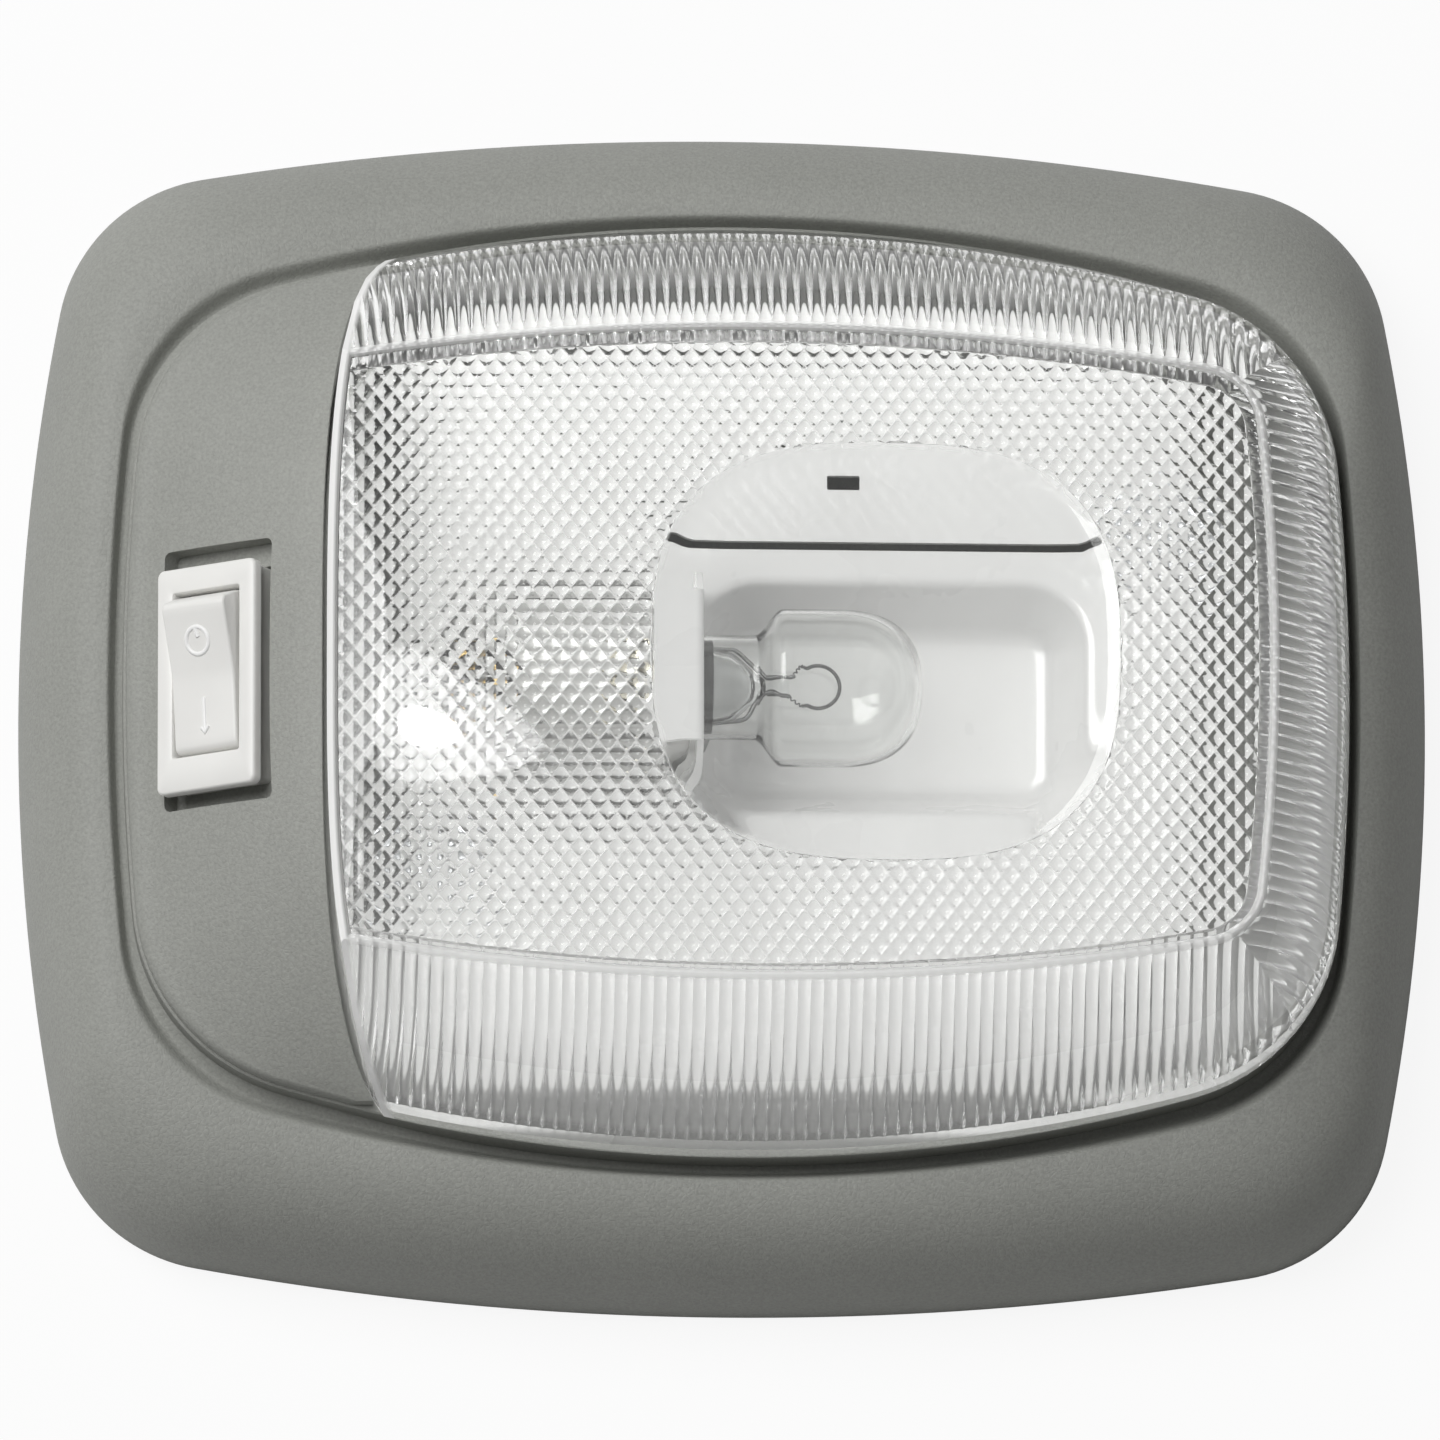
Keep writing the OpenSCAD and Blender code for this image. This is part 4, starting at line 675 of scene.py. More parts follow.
def inside(points, loop):
    # Which points lie inside a closed loop, all in plan.
    points, loop = np.asarray(points, float), np.asarray(loop, float)
    x, y = points[:, 0], points[:, 1]
    hit = np.zeros(len(points), bool)
    for (x1, y1), (x2, y2) in zip(loop, np.roll(loop, -1, axis=0)):
        if y1 == y2:
            continue
        cross = (y1 > y) != (y2 > y)
        hit ^= cross & (x < (x2 - x1) * (y - y1) / (y2 - y1) + x1)
    return hit


def filled(loops, extra=(), hole=None):
    # Triangles that fill the first loop, keeping every given loop and point.
    points, sides = [], []
    for loop in loops:
        base = len(points)
        points += [tuple(p) for p in loop]
        sides += [(base + i, base + (i + 1) % len(loop)) for i in range(len(loop))]
    points += [tuple(p) for p in extra]
    out = delaunay_2d_cdt([Vector(p) for p in points], sides, [], 1, 1e-5)
    flat = np.array([tuple(v) for v in out[0]])
    triangles = np.array([tuple(f) for f in out[2]])
    middle = flat[triangles].mean(axis=1)
    keep = inside(middle, loops[0])
    if hole is not None:
        keep &= ~inside(middle, hole)
    triangles = triangles[keep]
    a, b, c = (flat[triangles[:, k]] for k in range(3))
    area = (b[:, 0] - a[:, 0]) * (c[:, 1] - a[:, 1]) - (b[:, 1] - a[:, 1]) * (c[:, 0] - a[:, 0])
    triangles[area < 0] = triangles[area < 0][:, ::-1]
    return flat, triangles, [list(v) for v in out[3]]


def shrink(d, e):
    # The edge of the face moved inwards by e, with its sharp left corners kept.
    top = inset(band(d, 1), e)
    y_end = float(halve(lambda y: top[0] - reach_x(top, y) < wall_line(y, d + 2 * e), 10.0, top[2] - 0.3))
    ys = np.linspace(y_end, -y_end, 60)
    left = [(float(wall_line(y, d + 2 * e)), float(y)) for y in ys]
    run = [tuple(p) for p in loop_of(top, 40, 16, 60)]
    mask = [bool(abs(p[1]) < 55 - d - e and p[0] > wall_line(p[1], d + 2 * e) + 0.3) for p in run]
    start = mask.index(False)
    run = run[start:] + run[:start]
    mask = mask[start:] + mask[:start]
    run = [p for p, m in zip(run, mask) if m]
    return run + left


def window_edge(e=0.0, n=96):
    # The window's outline: a rounded oblong about the lamp, moved inwards by e.
    out = []
    for i in range(n):
        a = 2 * math.pi * i / n
        c, s = math.cos(a), math.sin(a)
        out.append((17.4 + (27.3 - e) * abs(c) ** (2 / 2.8) * (1 if c > 0 else -1),
                    (24.9 - e) * abs(s) ** (2 / 2.8) * (1 if s > 0 else -1)))
    return out


def lens_face_outside(edge):
    # The smooth crowned face with its raised bead, which starts at the fluted bands.
    rings = [(0.15, 0.22), (0.4, 0.42), (0.65, 0.48), (0.9, 0.42), (1.15, 0.22), (1.3, 0.02), (1.7, 0.0)]
    loops = [shrink(0, e) for e, _ in rings]
    cells = [(x, y) for x in np.arange(-46, 64, 2.0) for y in np.arange(-40, 41, 2.0)]
    inner = inside(cells, shrink(0, 2.6))
    cells = [c for c, k in zip(cells, inner) if k]
    flat, triangles, source = filled([edge] + loops, cells)
    z = face_height(0, flat[:, 0], flat[:, 1])
    bound = len(edge)
    starts = np.cumsum([bound] + [len(l) for l in loops])
    bead = np.zeros(len(flat))
    for i, src in enumerate(source):
        if not src:
            continue
        k = min(src)
        if k < bound:
            z[i] = 40
        elif k < starts[-1]:
            j = int(np.searchsorted(starts, k, side="right")) - 1
            e, lift = rings[j]
            z[i] = 40 + (z[i] - 40) * min(1, e / 1.7) + lift
            bead[i] = lift > 0.1
    points = np.column_stack([flat, z])
    return points, [tuple(t) for t in triangles], bead, np.tile((0, 0, -1.0), (len(points), 1))


PRISM = (1.09, 1.40)


def dimple(x, y):
    # Height from 0 to 1 of a field of rounded pyramids set point to point, with creases between them.
    u, v = (x - 0.3) / PRISM[0], y / PRISM[1]
    return np.abs(np.sin(math.pi * (u + v - 1) / 2) * np.sin(math.pi * (u - v - 1) / 2)) ** 0.85


def lens_face_inside(edge, window_rise):
    # The pyramids stop dead at a plain margin, at the edge of the face and round the window.
    ring, field = shrink(LENS_WALL, 0.24), shrink(LENS_WALL, 0.30)
    rises = [(-0.06, -1.0), (0.0, 0.0), (0.35, 0.22), (0.8, 0.50), (1.3, 0.74), (1.9, 0.92), (2.7, 1.0)]
    windows = [window_edge(e, 160) for e, _ in rises]
    a, b = np.meshgrid(np.arange(-75, 75, 0.25), np.arange(-75, 75, 0.25))
    cells = np.column_stack([((a + b + 1) * PRISM[0] + 0.3).ravel(), ((a - b) * PRISM[1]).ravel()])
    cells = cells[(np.abs(cells[:, 1]) < 42) & (cells[:, 0] > -50) & (cells[:, 0] < 66)]
    within = inside(cells, shrink(LENS_WALL, 0.42)) & ~inside(cells, window_edge(-0.18, 160))
    points = [tuple(c) for c in cells[within]]
    glass = [(x, y) for x in np.arange(-8, 44, 3.0) for y in np.arange(-24, 25, 3.0)]
    clear = inside(glass, window_edge(5.0))
    glass = [g for g, k in zip(glass, clear) if k]
    loops = [edge, ring, field] + windows
    flat, triangles, source = filled(loops, points + glass)
    z = face_height(LENS_WALL, flat[:, 0], flat[:, 1])
    lift = dimple(flat[:, 0], flat[:, 1])
    rib = np.zeros(len(flat))
    starts = np.cumsum([0] + [len(l) for l in loops])
    for i, src in enumerate(source):
        if not src:
            rib[i] = lift[i]
            continue
        k = min(src)
        if k < len(edge):
            z[i] = 40 - LENS_WALL
        elif k < starts[-1]:
            j = int(np.searchsorted(starts, k, side="right")) - 1
            if j >= 4:
                z[i] -= window_rise * rises[j - 3][1]
            elif j >= 2:
                rib[i] = lift[i]
        elif k < starts[-1] + len(points):
            rib[i] = lift[i]
        else:
            z[i] -= window_rise
    points = np.column_stack([flat, z])
    clear = inside(flat, windows[2])
    return points, [tuple(reversed(t)) for t in triangles], rib, np.where(clear, 0.1, 0.45)


LAYERS = ("rib", "peak", "bead", "haze", "field")


def lens_piece():
    # Layers per point: how far it is in a flute, on a pyramid, on the bead, and how hazy it is.
    out_patches, out_foot, out_face = lens_skin(0, 1, 14)
    in_patches, in_foot, in_face = lens_skin(LENS_WALL, 8, 12)
    outside = lens_face_outside(out_face)
    flat, faces, prisms, clouds = lens_face_inside(in_face, 0.35)
    parts = []

    def take(points, faces, push, **given):
        run = [np.broadcast_to(given.get(name, 0), len(points)).astype(float) for name in LAYERS]
        parts.append((points, faces, np.column_stack(run), push))

    for p in out_patches:
        take(p[0], p[1], p[3])
    take(outside[0], outside[1], outside[3], bead=outside[2])
    for p in in_patches:
        take(p[0], [tuple(reversed(f)) for f in p[1]], p[3], rib=p[2], haze=1)
    take(flat, faces, np.tile((0, 0, -1.0), (len(flat), 1)), peak=prisms, haze=clouds, field=clouds > 0.3)
    # The underside of the foot joins the two skins
    flat, triangles, _ = filled([out_foot, in_foot], hole=in_foot)
    foot = np.column_stack([flat, np.full(len(flat), FOOT)])
    take(foot, [tuple(reversed(t)) for t in triangles], np.zeros((len(foot), 3)))
    points, faces, layers, push = welded(parts)
    lens = object_of("lens_shell", points, faces)
    for name, run in zip(LAYERS, layers.T):
        lens.data.attributes.new(name, "FLOAT", "POINT").data.foreach_set("value", np.ascontiguousarray(run))
    lens.data.attributes.new("inward", "FLOAT_VECTOR", "POINT").data.foreach_set("vector", push.ravel())
    return lens


def light_passes(tree):
    # 1 for shadow rays and diffuse light, which go straight through a clear piece.
    ray = add(tree, "ShaderNodeLightPath").outputs
    return sum_of(tree, "MAXIMUM", ray["Is Shadow Ray"], ray["Is Diffuse Ray"])


def clear_skin(tree, skin, passing):
    # What the eye sees of a clear piece, and what light does that goes through it.
    add(tree, "ShaderNodeOutputMaterial", {"Surface": over(tree, light_passes(tree), skin, passing)})


def clear_acrylic():
    # Clear acrylic with a little haze in its prisms and a frosted edge along its left wall.
    # Lamps and diffuse light pass it straight, so that they reach the inside of the light.
    paint, tree, where = new_paint("clear acrylic")

    def layer(name):
        return add(tree, "ShaderNodeAttribute", attribute_name=name).outputs["Fac"]

    gloss = ramp(tree, noise(tree, where, 90.0, 2.0), made=(0, 0.04))
    skin = add(tree, "ShaderNodeBsdfPrincipled", {
        "Base Color": (0.965, 0.97, 0.96, 1), "Roughness": gloss, "IOR": 1.49, "Transmission Weight": 1.0})
    milk = add(tree, "ShaderNodeBsdfDiffuse", {"Color": (0.93, 0.93, 0.92, 1)})
    # Distance from the left wall's outer face, which is where wall_line has it, in metres
    part = add(tree, "ShaderNodeSeparateXYZ", {0: where}).outputs
    y = sum_of(tree, "DIVIDE", sum_of(tree, "ABSOLUTE", part["Y"]), WALL_HALF * 0.001)
    y = sum_of(tree, "SUBTRACT", 1.0, sum_of(tree, "POWER", y, WALL_POWER), use_clamp=True)
    y = sum_of(tree, "POWER", y, 1 / WALL_POWER)
    y = sum_of(tree, "MULTIPLY_ADD", y, WALL_BULGE * 0.001, -WALL_X * 0.001)
    edge = ramp(tree, sum_of(tree, "ADD", part["X"], y), (0.00125, 0.0006))
    normal = add(tree, "ShaderNodeNewGeometry").outputs["True Normal"]
    facing = add(tree, "ShaderNodeSeparateXYZ", {0: normal}).outputs["Z"]
    edge = sum_of(tree, "MULTIPLY", edge, sum_of(tree, "GREATER_THAN", facing, 0.3))
    # The lower bands are hazier than the upper ones
    cloud = sum_of(tree, "MULTIPLY", layer("haze"), ramp(tree, part["Y"], (-0.04, 0.03), (0.34, 0.06)))
    # The creases between the pyramids are frosted, more in some places than in others
    wear = ramp(tree, noise(tree, where, 45.0, 1.0), (0.4, 0.6), (0.10, 0.55))
    frost = ramp(tree, layer("peak"), (0.24, 0.10), (0, wear))
    milky = sum_of(tree, "MULTIPLY", edge, 0.85)
    for share in (sum_of(tree, "MULTIPLY", layer("bead"), 0.45),
                  sum_of(tree, "MULTIPLY", frost, layer("field")), cloud):
        milky = sum_of(tree, "MAXIMUM", milky, share)
    # The prisms turn a part of the lamp's light away and scatter a part of the diffuse light
    ray = add(tree, "ShaderNodeLightPath").outputs
    left = ramp(tree, ray["Is Shadow Ray"], made=(0.985, ramp(tree, layer("field"), made=(0.74, 0.55))))
    straight = add(tree, "ShaderNodeBsdfTransparent", {"Color": left})
    spread = add(tree, "ShaderNodeBsdfTranslucent", {"Color": (0.97, 0.97, 0.97, 1)})
    share = sum_of(tree, "MULTIPLY", sum_of(tree, "MULTIPLY", ray["Is Diffuse Ray"], 0.6), layer("haze"))
    clear_skin(tree, over(tree, milky, skin, milk), over(tree, share, straight, spread))
    return paint


def node_tree(name, **sizes):
    # An empty Geometry Nodes tree with a mesh in and out and named inputs of its own.
    tree = bpy.data.node_groups.new(name, "GeometryNodeTree")
    tree.interface.new_socket("Geometry", in_out="INPUT", socket_type="NodeSocketGeometry")
    for label, value in sizes.items():
        kind = {int: "Int", float: "Float", tuple: "Vector"}[type(value)]
        socket = tree.interface.new_socket(label.replace("_", " "), in_out="INPUT",
                                           socket_type="NodeSocket" + kind)
        socket.default_value = value
    tree.interface.new_socket("Geometry", in_out="OUTPUT", socket_type="NodeSocketGeometry")
    return tree, add(tree, "NodeGroupInput").outputs


def finish_tree(tree, geometry, finish):
    real = add(tree, "GeometryNodeRealizeInstances", {"Geometry": geometry})
    coat = add(tree, "GeometryNodeSetMaterial", {"Geometry": real, "Material": finish})
    add(tree, "NodeGroupOutput", {"Geometry": coat})
    return tree


def run_tree(made, tree, values, sharp=40):
    # Runs a tree on an object with the given inputs and keeps the plain mesh.
    step = made.modifiers.new("nodes", "NODES")
    step.node_group = tree
    for item in tree.interface.items_tree:
        if item.in_out == "INPUT" and item.name in values:
            step[item.identifier] = values[item.name]
    settle(made)
    smooth(made, sharp)
    return made


def relief_tree(finish):
    # Presses the flutes and the pyramids out of the plain inner skin.
    tree, given = node_tree("lens relief", Flute_depth=0.0003, Prism_depth=0.0003)

    def layer(name, kind="FLOAT"):
        return add(tree, "GeometryNodeInputNamedAttribute", {"Name": name}, data_type=kind)

    depth = sum_of(tree, "ADD", sum_of(tree, "MULTIPLY", layer("rib"), given["Flute depth"]),
                   sum_of(tree, "MULTIPLY", layer("peak"), given["Prism depth"]))
    shift = add(tree, "ShaderNodeVectorMath", {0: layer("inward", "FLOAT_VECTOR"), "Scale": depth},
                operation="SCALE")
    moved = add(tree, "GeometryNodeSetPosition", {"Geometry": given["Geometry"], "Offset": shift})
    return finish_tree(tree, moved, finish)


lens = run_tree(lens_piece(), relief_tree(clear_acrylic()),
                {"Flute depth": 0.00034, "Prism depth": 0.00040}, 24)
for name in ("rib", "inward"):
    lens.data.attributes.remove(lens.data.attributes[name])
put(lens, "lens", "lens")

# Reflector: one sheet of white enamelled steel. It is pressed to a trough under the lamp and to a
# tray under the socket, its folded end wall carries the socket, and two screws hold it on bosses.
PLATE = 16.8


def plain_finish(name, colour, roughness=0.4, metallic=0.0, grain=0.0, scale=350.0, **more):
    # A finish with a faint cloud in its colour and roughness, and a fine grain where it has one.
    paint, tree, where = new_paint(name)
    cloud = noise(tree, where, scale, 3.0)
    dark = tuple(c * 0.9 for c in colour)
    sockets = {"Base Color": tint(tree, cloud.outputs[0], (*dark, 1), (*colour, 1)), "Metallic": metallic,
               "Roughness": ramp(tree, cloud, made=(roughness * 0.85, roughness * 1.15)), **more}
    if grain:
        sockets["Normal"] = add(tree, "ShaderNodeBump", {"Height": noise(tree, where, 1800.0, 2.0),
                                                         "Strength": grain, "Distance": 0.00005})
    add(tree, "ShaderNodeOutputMaterial", {"Surface": add(tree, "ShaderNodeBsdfPrincipled", sockets)})
    return paint


def reflector_sheet():
    # The pressed sheet: turned-down edge, flat plate, rounded lip and the trough, all in one run
    middle, trough = 8.5, 19.1
    rings = [(103, 94, 12, 13.4, middle), (103, 94, 12, 16.0, middle), (102.8, 93.8, 11.9, 16.4, middle),
             (102.3, 93.3, 11.7, 16.7, middle), (101.6, 92.6, 11.4, PLATE, middle)]
    for d, z in ((-1.2, 0), (-0.7, -0.06), (-0.3, -0.22), (0.0, -0.5), (0.22, -0.9), (0.5, -1.5),
                 (1.5, -3.6), (2.9, -6.4), (3.3, -7.0), (3.8, -7.5), (4.4, -7.85), (5.2, -8.0)):
        rings.append((45 - 2 * d, 27 - 2 * d, 7 - d if d < 5 else 1.8, PLATE + z, trough))
    sheet = tower("sheet", rings, steps=10, hollow=True)
    thick = sheet.modifiers.new("gauge", "SOLIDIFY")
    thick.thickness = 0.0008
    thick.offset = -1
    thick.use_even_offset = True
    return outward_faces(settle(sheet))


def extruded(name, outline, low, high, place=None):
    # A flat outline drawn out between two heights.
    return outward_faces(stacked(name, [[(x, y, z) for x, y in outline] for z in (low, high)], place))


on_x = Matrix.Rotation(math.pi / 2, 4, "Y")
lamp_place = at(-3.4, 0, 21) @ on_x
reflector = reflector_sheet()
carve(reflector, [block(26.0, 22.4, 9.7, PLATE, 1.2, at(-16.4, 0))], "UNION")
rings = [(25.2, 0.8, 0.1, 0), (25.2, 0.8, 0.1, 9.4), (24.4, 0.8, 0.1, 10.8), (18, 0.8, 0.1, 14.9)]
wall = tower("wall", rings, at(-3.8, 0, 16.3) @ Matrix.Rotation(math.pi / 2, 4, "Z"))
carve(reflector, [wall], "UNION")
fold = [(-3.4, 16.2)] + [(-4.4 + math.cos(a), 31.4 + math.sin(a)) for a in np.radians(range(0, 91, 15))]
fold += [(-8.4, 32.4), (-8.4, 31.6), (-4.4, 31.6), (-4.26, 31.54), (-4.2, 31.4), (-4.2, 16.2)]
upright = Matrix(((1, 0, 0, 0), (0, 0, -1, 0), (0, 1, 0, 0), (0, 0, 0, 1)))
carve(reflector, [extruded("fold", fold, -9, 9, upright)], "UNION")
# Cuts: the lamp's hole, the tray, the slit, the small slot, the wire's notch and the screw holes
carve(reflector, [block(17.8, 17.8, -3, 2.5, 8.9, lamp_place, 12),
                  block(24.4, 20.8, 10.5, 17.4, 0.9, at(-16.4, 0)),
                  block(48, 1.0, 15, 18, 0.45, at(17.6, 18.2)),
                  block(3.8, 1.6, 15, 18, 0.2, at(13.5, 25.7)),
                  block(3.5, 4.4, 15, 18, 0.8, at(-31.55, 0))]
      + [round_at(x, y, 14, 18, 1.8, 10) for x, y in SCREWS])
reflector.name = "reflector_sheet"
enamel = plain_finish("white enamel", (0.92, 0.92, 0.91), 0.28, grain=0.12, scale=90.0,
                      **{"Coat Weight": 1.0, "Coat Roughness": 0.08})
coat(reflector, enamel, 35)
put(reflector, "reflector", "housing")

# Reflector screws: two pan heads with a cross recess, turned and rolled from zinc plated steel.
# They go through the sheet into bosses of the base.


def turned(name, profile, place=None, count=48):
    # A profile of (radius, height) turned about Z; points on the axis become one point.
    points, rows = [], []
    for r, z in profile:
        if r < 1e-6:
            rows.append([len(points)] * count)
            points.append(Vector((0, 0, z)))
        else:
            rows.append(list(range(len(points), len(points) + count)))
            turns = [2 * math.pi * k / count for k in range(count)]
            points += [Vector((r * math.cos(a), r * math.sin(a), z)) for a in turns]
    faces = []
    last = len(rows) if profile[0][0] > 1e-6 else len(rows) - 1
    for i in range(last):
        a, b = rows[i], rows[(i + 1) % len(rows)]
        for k in range(count):
            n = (k + 1) % count
            face = [a[k], a[n], b[n], b[k]]
            face = [v for j, v in enumerate(face) if v != face[j - 1]]
            if len(face) > 2:
                faces.append(face)
    if place:
        points = [place @ p for p in points]
    return outward_faces(object_of(name, [tuple(p) for p in points], faces))


def pair_tree(finish):
    # Sets the same small piece down twice.
    tree, given = node_tree("pair", First=(0.0, 0.0, 0.0), Step=(0.0, 0.01, 0.0))
    line = add(tree, "GeometryNodeMeshLine", {
        "Count": 2, "Start Location": given["First"], "Offset": given["Step"]}, mode="OFFSET")
    pair = add(tree, "GeometryNodeInstanceOnPoints", {"Points": line, "Instance": given["Geometry"]})
    return finish_tree(tree, pair, finish)


zinc = plain_finish("zinc plate", (0.66, 0.67, 0.69), 0.28, 1.0, scale=700.0)
on_plate = at(0, 0, PLATE)
pan = [(0, 0), (2.85, 0), (2.85, 0.5)]
pan += [(2.85 * math.cos(a), 0.5 + 1.35 * math.sin(a)) for a in np.radians([20, 40, 60, 75])]
screw = turned("pan_screw", pan + [(0, 1.9)], on_plate, 40)
shank = turned("shank", [(0, -9), (1.1, -8.6), (1.45, -7.6), (1.45, 0.1), (0, 0.1)], on_plate, 24)
carve(screw, [shank], "UNION")
carve(screw, [block(a, b, 0.9, 2.2, 0.15, on_plate) for a, b in ((0.6, 3.2), (3.2, 0.6))])
run_tree(screw, pair_tree(zinc), {"First": (-0.035, -0.02115, 0), "Step": (0.086, 0.03995, 0)})
put(screw, "reflector_screws", "housing")

# Socket rivets: two aluminium rivets that clinch the socket's flange on the end wall of the
# reflector, one on each side of the lamp.
alloy = plain_finish("rivet alloy", (0.72, 0.72, 0.71), 0.35, 1.0, scale=900.0)
rivet = [(0, -2.1), (1.0, -2.1), (1.3, -1.9), (1.3, -1.4), (0.8, -1.4), (0.8, 0), (1.5, 0)]
rivet += [(1.5 * math.cos(a), 0.7 * math.sin(a)) for a in np.radians([20, 40, 60, 80])] + [(0, 0.7)]
rivets = turned("clinch_rivet", rivet, at(-3.4, -10.3, 18.5) @ on_x, 32)
run_tree(rivets, pair_tree(alloy), {"First": (0, 0, 0), "Step": (0, 0.0206, 0)})
put(rivets, "socket_rivets", "housing")

# Lamp socket: a shell with two bayonet slots and a flange, drawn from tin plated steel and
# riveted to the end wall of the reflector.


def dress(node, paint):
    # Gives a CAD node its finish.
    slots = cad[node].data.materials
    for i in range(len(slots)):
        slots[i] = paint
    if not len(slots):
        slots.append(paint)


dress("lamp_socket", plain_finish("tin plate", (0.62, 0.62, 0.61), 0.3, 1.0, scale=500.0))

# Socket insulator: a punched disc of vulcanised fibre that slides in the shell and carries
# the centre contact.
fibre = plain_finish("vulcanised fibre", (0.16, 0.08, 0.045), 0.7, grain=0.4, scale=1500.0)
dress("socket_insulator", fibre)

# Socket contact, contact lever and terminals: stamped brass. The contact is clinched in its
# disc, and the lever rocks on the common terminal of the switch.
brass = plain_finish("stamped brass", (0.75, 0.55, 0.25), 0.3, 1.0, scale=600.0)
for node in ("socket_contact", "contact_lever", "common_terminal", "load_terminal"):
    dress(node, brass)

# Jumper terminal: a tinned brass receptacle, crimped on the wire and pushed on the blade of
# the load terminal.
dress("jumper_terminal", plain_finish("tinned brass", (0.72, 0.70, 0.62), 0.3, 1.0, scale=800.0))

# Rocker plunger: a nose moulded in black nylon that slides in the rocker and presses on the
# contact lever.
dress("rocker_plunger", plain_finish("black nylon", (0.02, 0.02, 0.022), 0.4, grain=0.2))

# Socket spring and plunger spring: coils of hard drawn steel wire. One pushes the centre
# contact on the lamp, the other the plunger on the lever.


def swept(tree, line, radius, sides, finish):
    # A round wire along a curve, with closed ends.
    ring = add(tree, "GeometryNodeCurvePrimitiveCircle", {"Resolution": sides, "Radius": radius})
    wire = add(tree, "GeometryNodeCurveToMesh", {"Curve": line, "Profile Curve": ring, "Fill Caps": True})
    return finish_tree(tree, wire, finish)


def coil_tree(finish):
    # A coil spring that stands on its own Z.
    tree, given = node_tree("coil", Turns=4.0, Coil_radius=0.004, Height=0.004, Wire_radius=0.0003)
    line = add(tree, "GeometryNodeCurveSpiral", {
        "Resolution": 32, "Rotations": given["Turns"], "Start Radius": given["Coil radius"],
        "End Radius": given["Coil radius"], "Height": given["Height"]})
    return swept(tree, line, given["Wire radius"], 10, finish)


def line_of(name, points, closed=False):
    # A mesh of points joined by edges, for a wire.
    mesh = bpy.data.meshes.new(name)
    n = len(points)
    edges = [(i, i + 1) for i in range(n - 1)] + ([(n - 1, 0)] if closed else [])
    mesh.from_pydata([tuple(c * 0.001 for c in p) for p in points], edges, [])
    return placed(name, mesh)


spring = coil_tree(plain_finish("spring steel", (0.55, 0.55, 0.57), 0.25, 1.0, scale=1200.0))


def spring_at(name, node, body, place, turns, radius, height, wire):
    made = run_tree(line_of(name, [(0, 0, 0), (0, 0, 0.001)]), spring, {
        "Turns": turns, "Coil radius": radius * 0.001, "Height": height * 0.001,
        "Wire radius": wire * 0.001})
    lifted = place.copy()
    lifted.translation = place.translation * 0.001
    made.data.transform(lifted)
    put(made, node, body)


spring_at("socket_coil", "socket_spring", "housing", lamp_place @ at(0, 0, -22.4), 3.5, 4.6, 1.9, 0.28)
rocker_place = switch_place @ at(0, 0, -1) @ Matrix.Rotation(math.radians(10.5), 4, "X")
spring_at("plunger_coil", "plunger_spring", "rocker", rocker_place @ at(0, 0, -2.2), 4.5, 0.85, 2.6, 0.16)

# Lamp glass: a bulb of clear soda glass, blown with a narrow neck. It is sealed on the stem
# and cemented in the cap.


def clear_glass(name, colour=(0.99, 0.995, 0.99)):
    # Clear soda glass with faint draw lines in its thickness.
    paint, tree, where = new_paint(name)
    bump = add(tree, "ShaderNodeBump", {"Height": noise(tree, where, 160.0, 1.0), "Strength": 0.25,
                                        "Distance": 0.0003})
    skin = add(tree, "ShaderNodeBsdfPrincipled", {"Base Color": (*colour, 1), "Roughness": 0.0, "IOR": 1.5,
                                                  "Transmission Weight": 1.0, "Normal": bump})
    clear_skin(tree, skin, add(tree, "ShaderNodeBsdfTransparent", {"Color": (0.96, 0.96, 0.96, 1)}))
    return paint


outer = [(6.1, -3.6), (6.1, 0), (6.1, 3), (6.12, 5.6)]
outer += [(6.1 + 3.1 * (1 - math.cos(math.pi * t)) / 2, 6.2 + 3.4 * t) for t in np.linspace(0.08, 1, 12)]
outer += [(9.2, 12), (9.2, 14.5)]
outer += [(9.2 * math.cos(a) ** (2 / 2.5), 16 + 9.9 * math.sin(a) ** (2 / 2.5))
          for a in np.radians(np.linspace(4, 89, 20))]
walls = [(max(0.02, r - 0.55), z if z < 16 else 16 + (z - 16) * 9.35 / 9.9) for r, z in outer]
glass = turned("blown_glass", [(0, 25.9)] + outer[::-1] + walls + [(0, 25.35)], lamp_place, 72)
coat(glass, clear_glass("lamp glass"), 50)
put(glass, "bulb_glass", "housing")

# Lamp stem: a flare of glass, pressed flat at its end to seal the two leads, with a small
# bead that bridges them.
flare = [(5.0, -2.8), (4.9, -1.6), (4.5, 0.4), (4.25, 2.6), (4.0, 3.6), (3.4, 4.5), (2.3, 5.7),
         (1.3, 6.8), (0.9, 7.4), (0, 7.6), (0, 6.6), (1.7, 5.4), (2.8, 4.2), (3.5, 3.0), (3.9, 0.8),
         (4.3, -1.4), (4.4, -2.8)]
bead = block(1.4, 2.5, 7.7, 10.3, 0.6, lamp_place @ at(0, 0.25), 5)
stem = join("glass_stem", [turned("stem_foot", flare, lamp_place, 48), bead])
coat(stem, clear_glass("stem glass", (0.95, 0.96, 0.96)), 40)
put(stem, "bulb_stem", "housing")

# Lamp leads: two nickel wires, spread in the flare, drawn in at the bead and clamped on the
# ends of the filament.
AXIS = 21.0


def wire_tree(finish):
    # A round wire along a line of points.
    tree, given = node_tree("wire", Wire_radius=0.00025, Sides=12)
    line = add(tree, "GeometryNodeMeshToCurve", {"Mesh": given["Geometry"]})
    return swept(tree, line, given["Wire radius"], given["Sides"], finish)


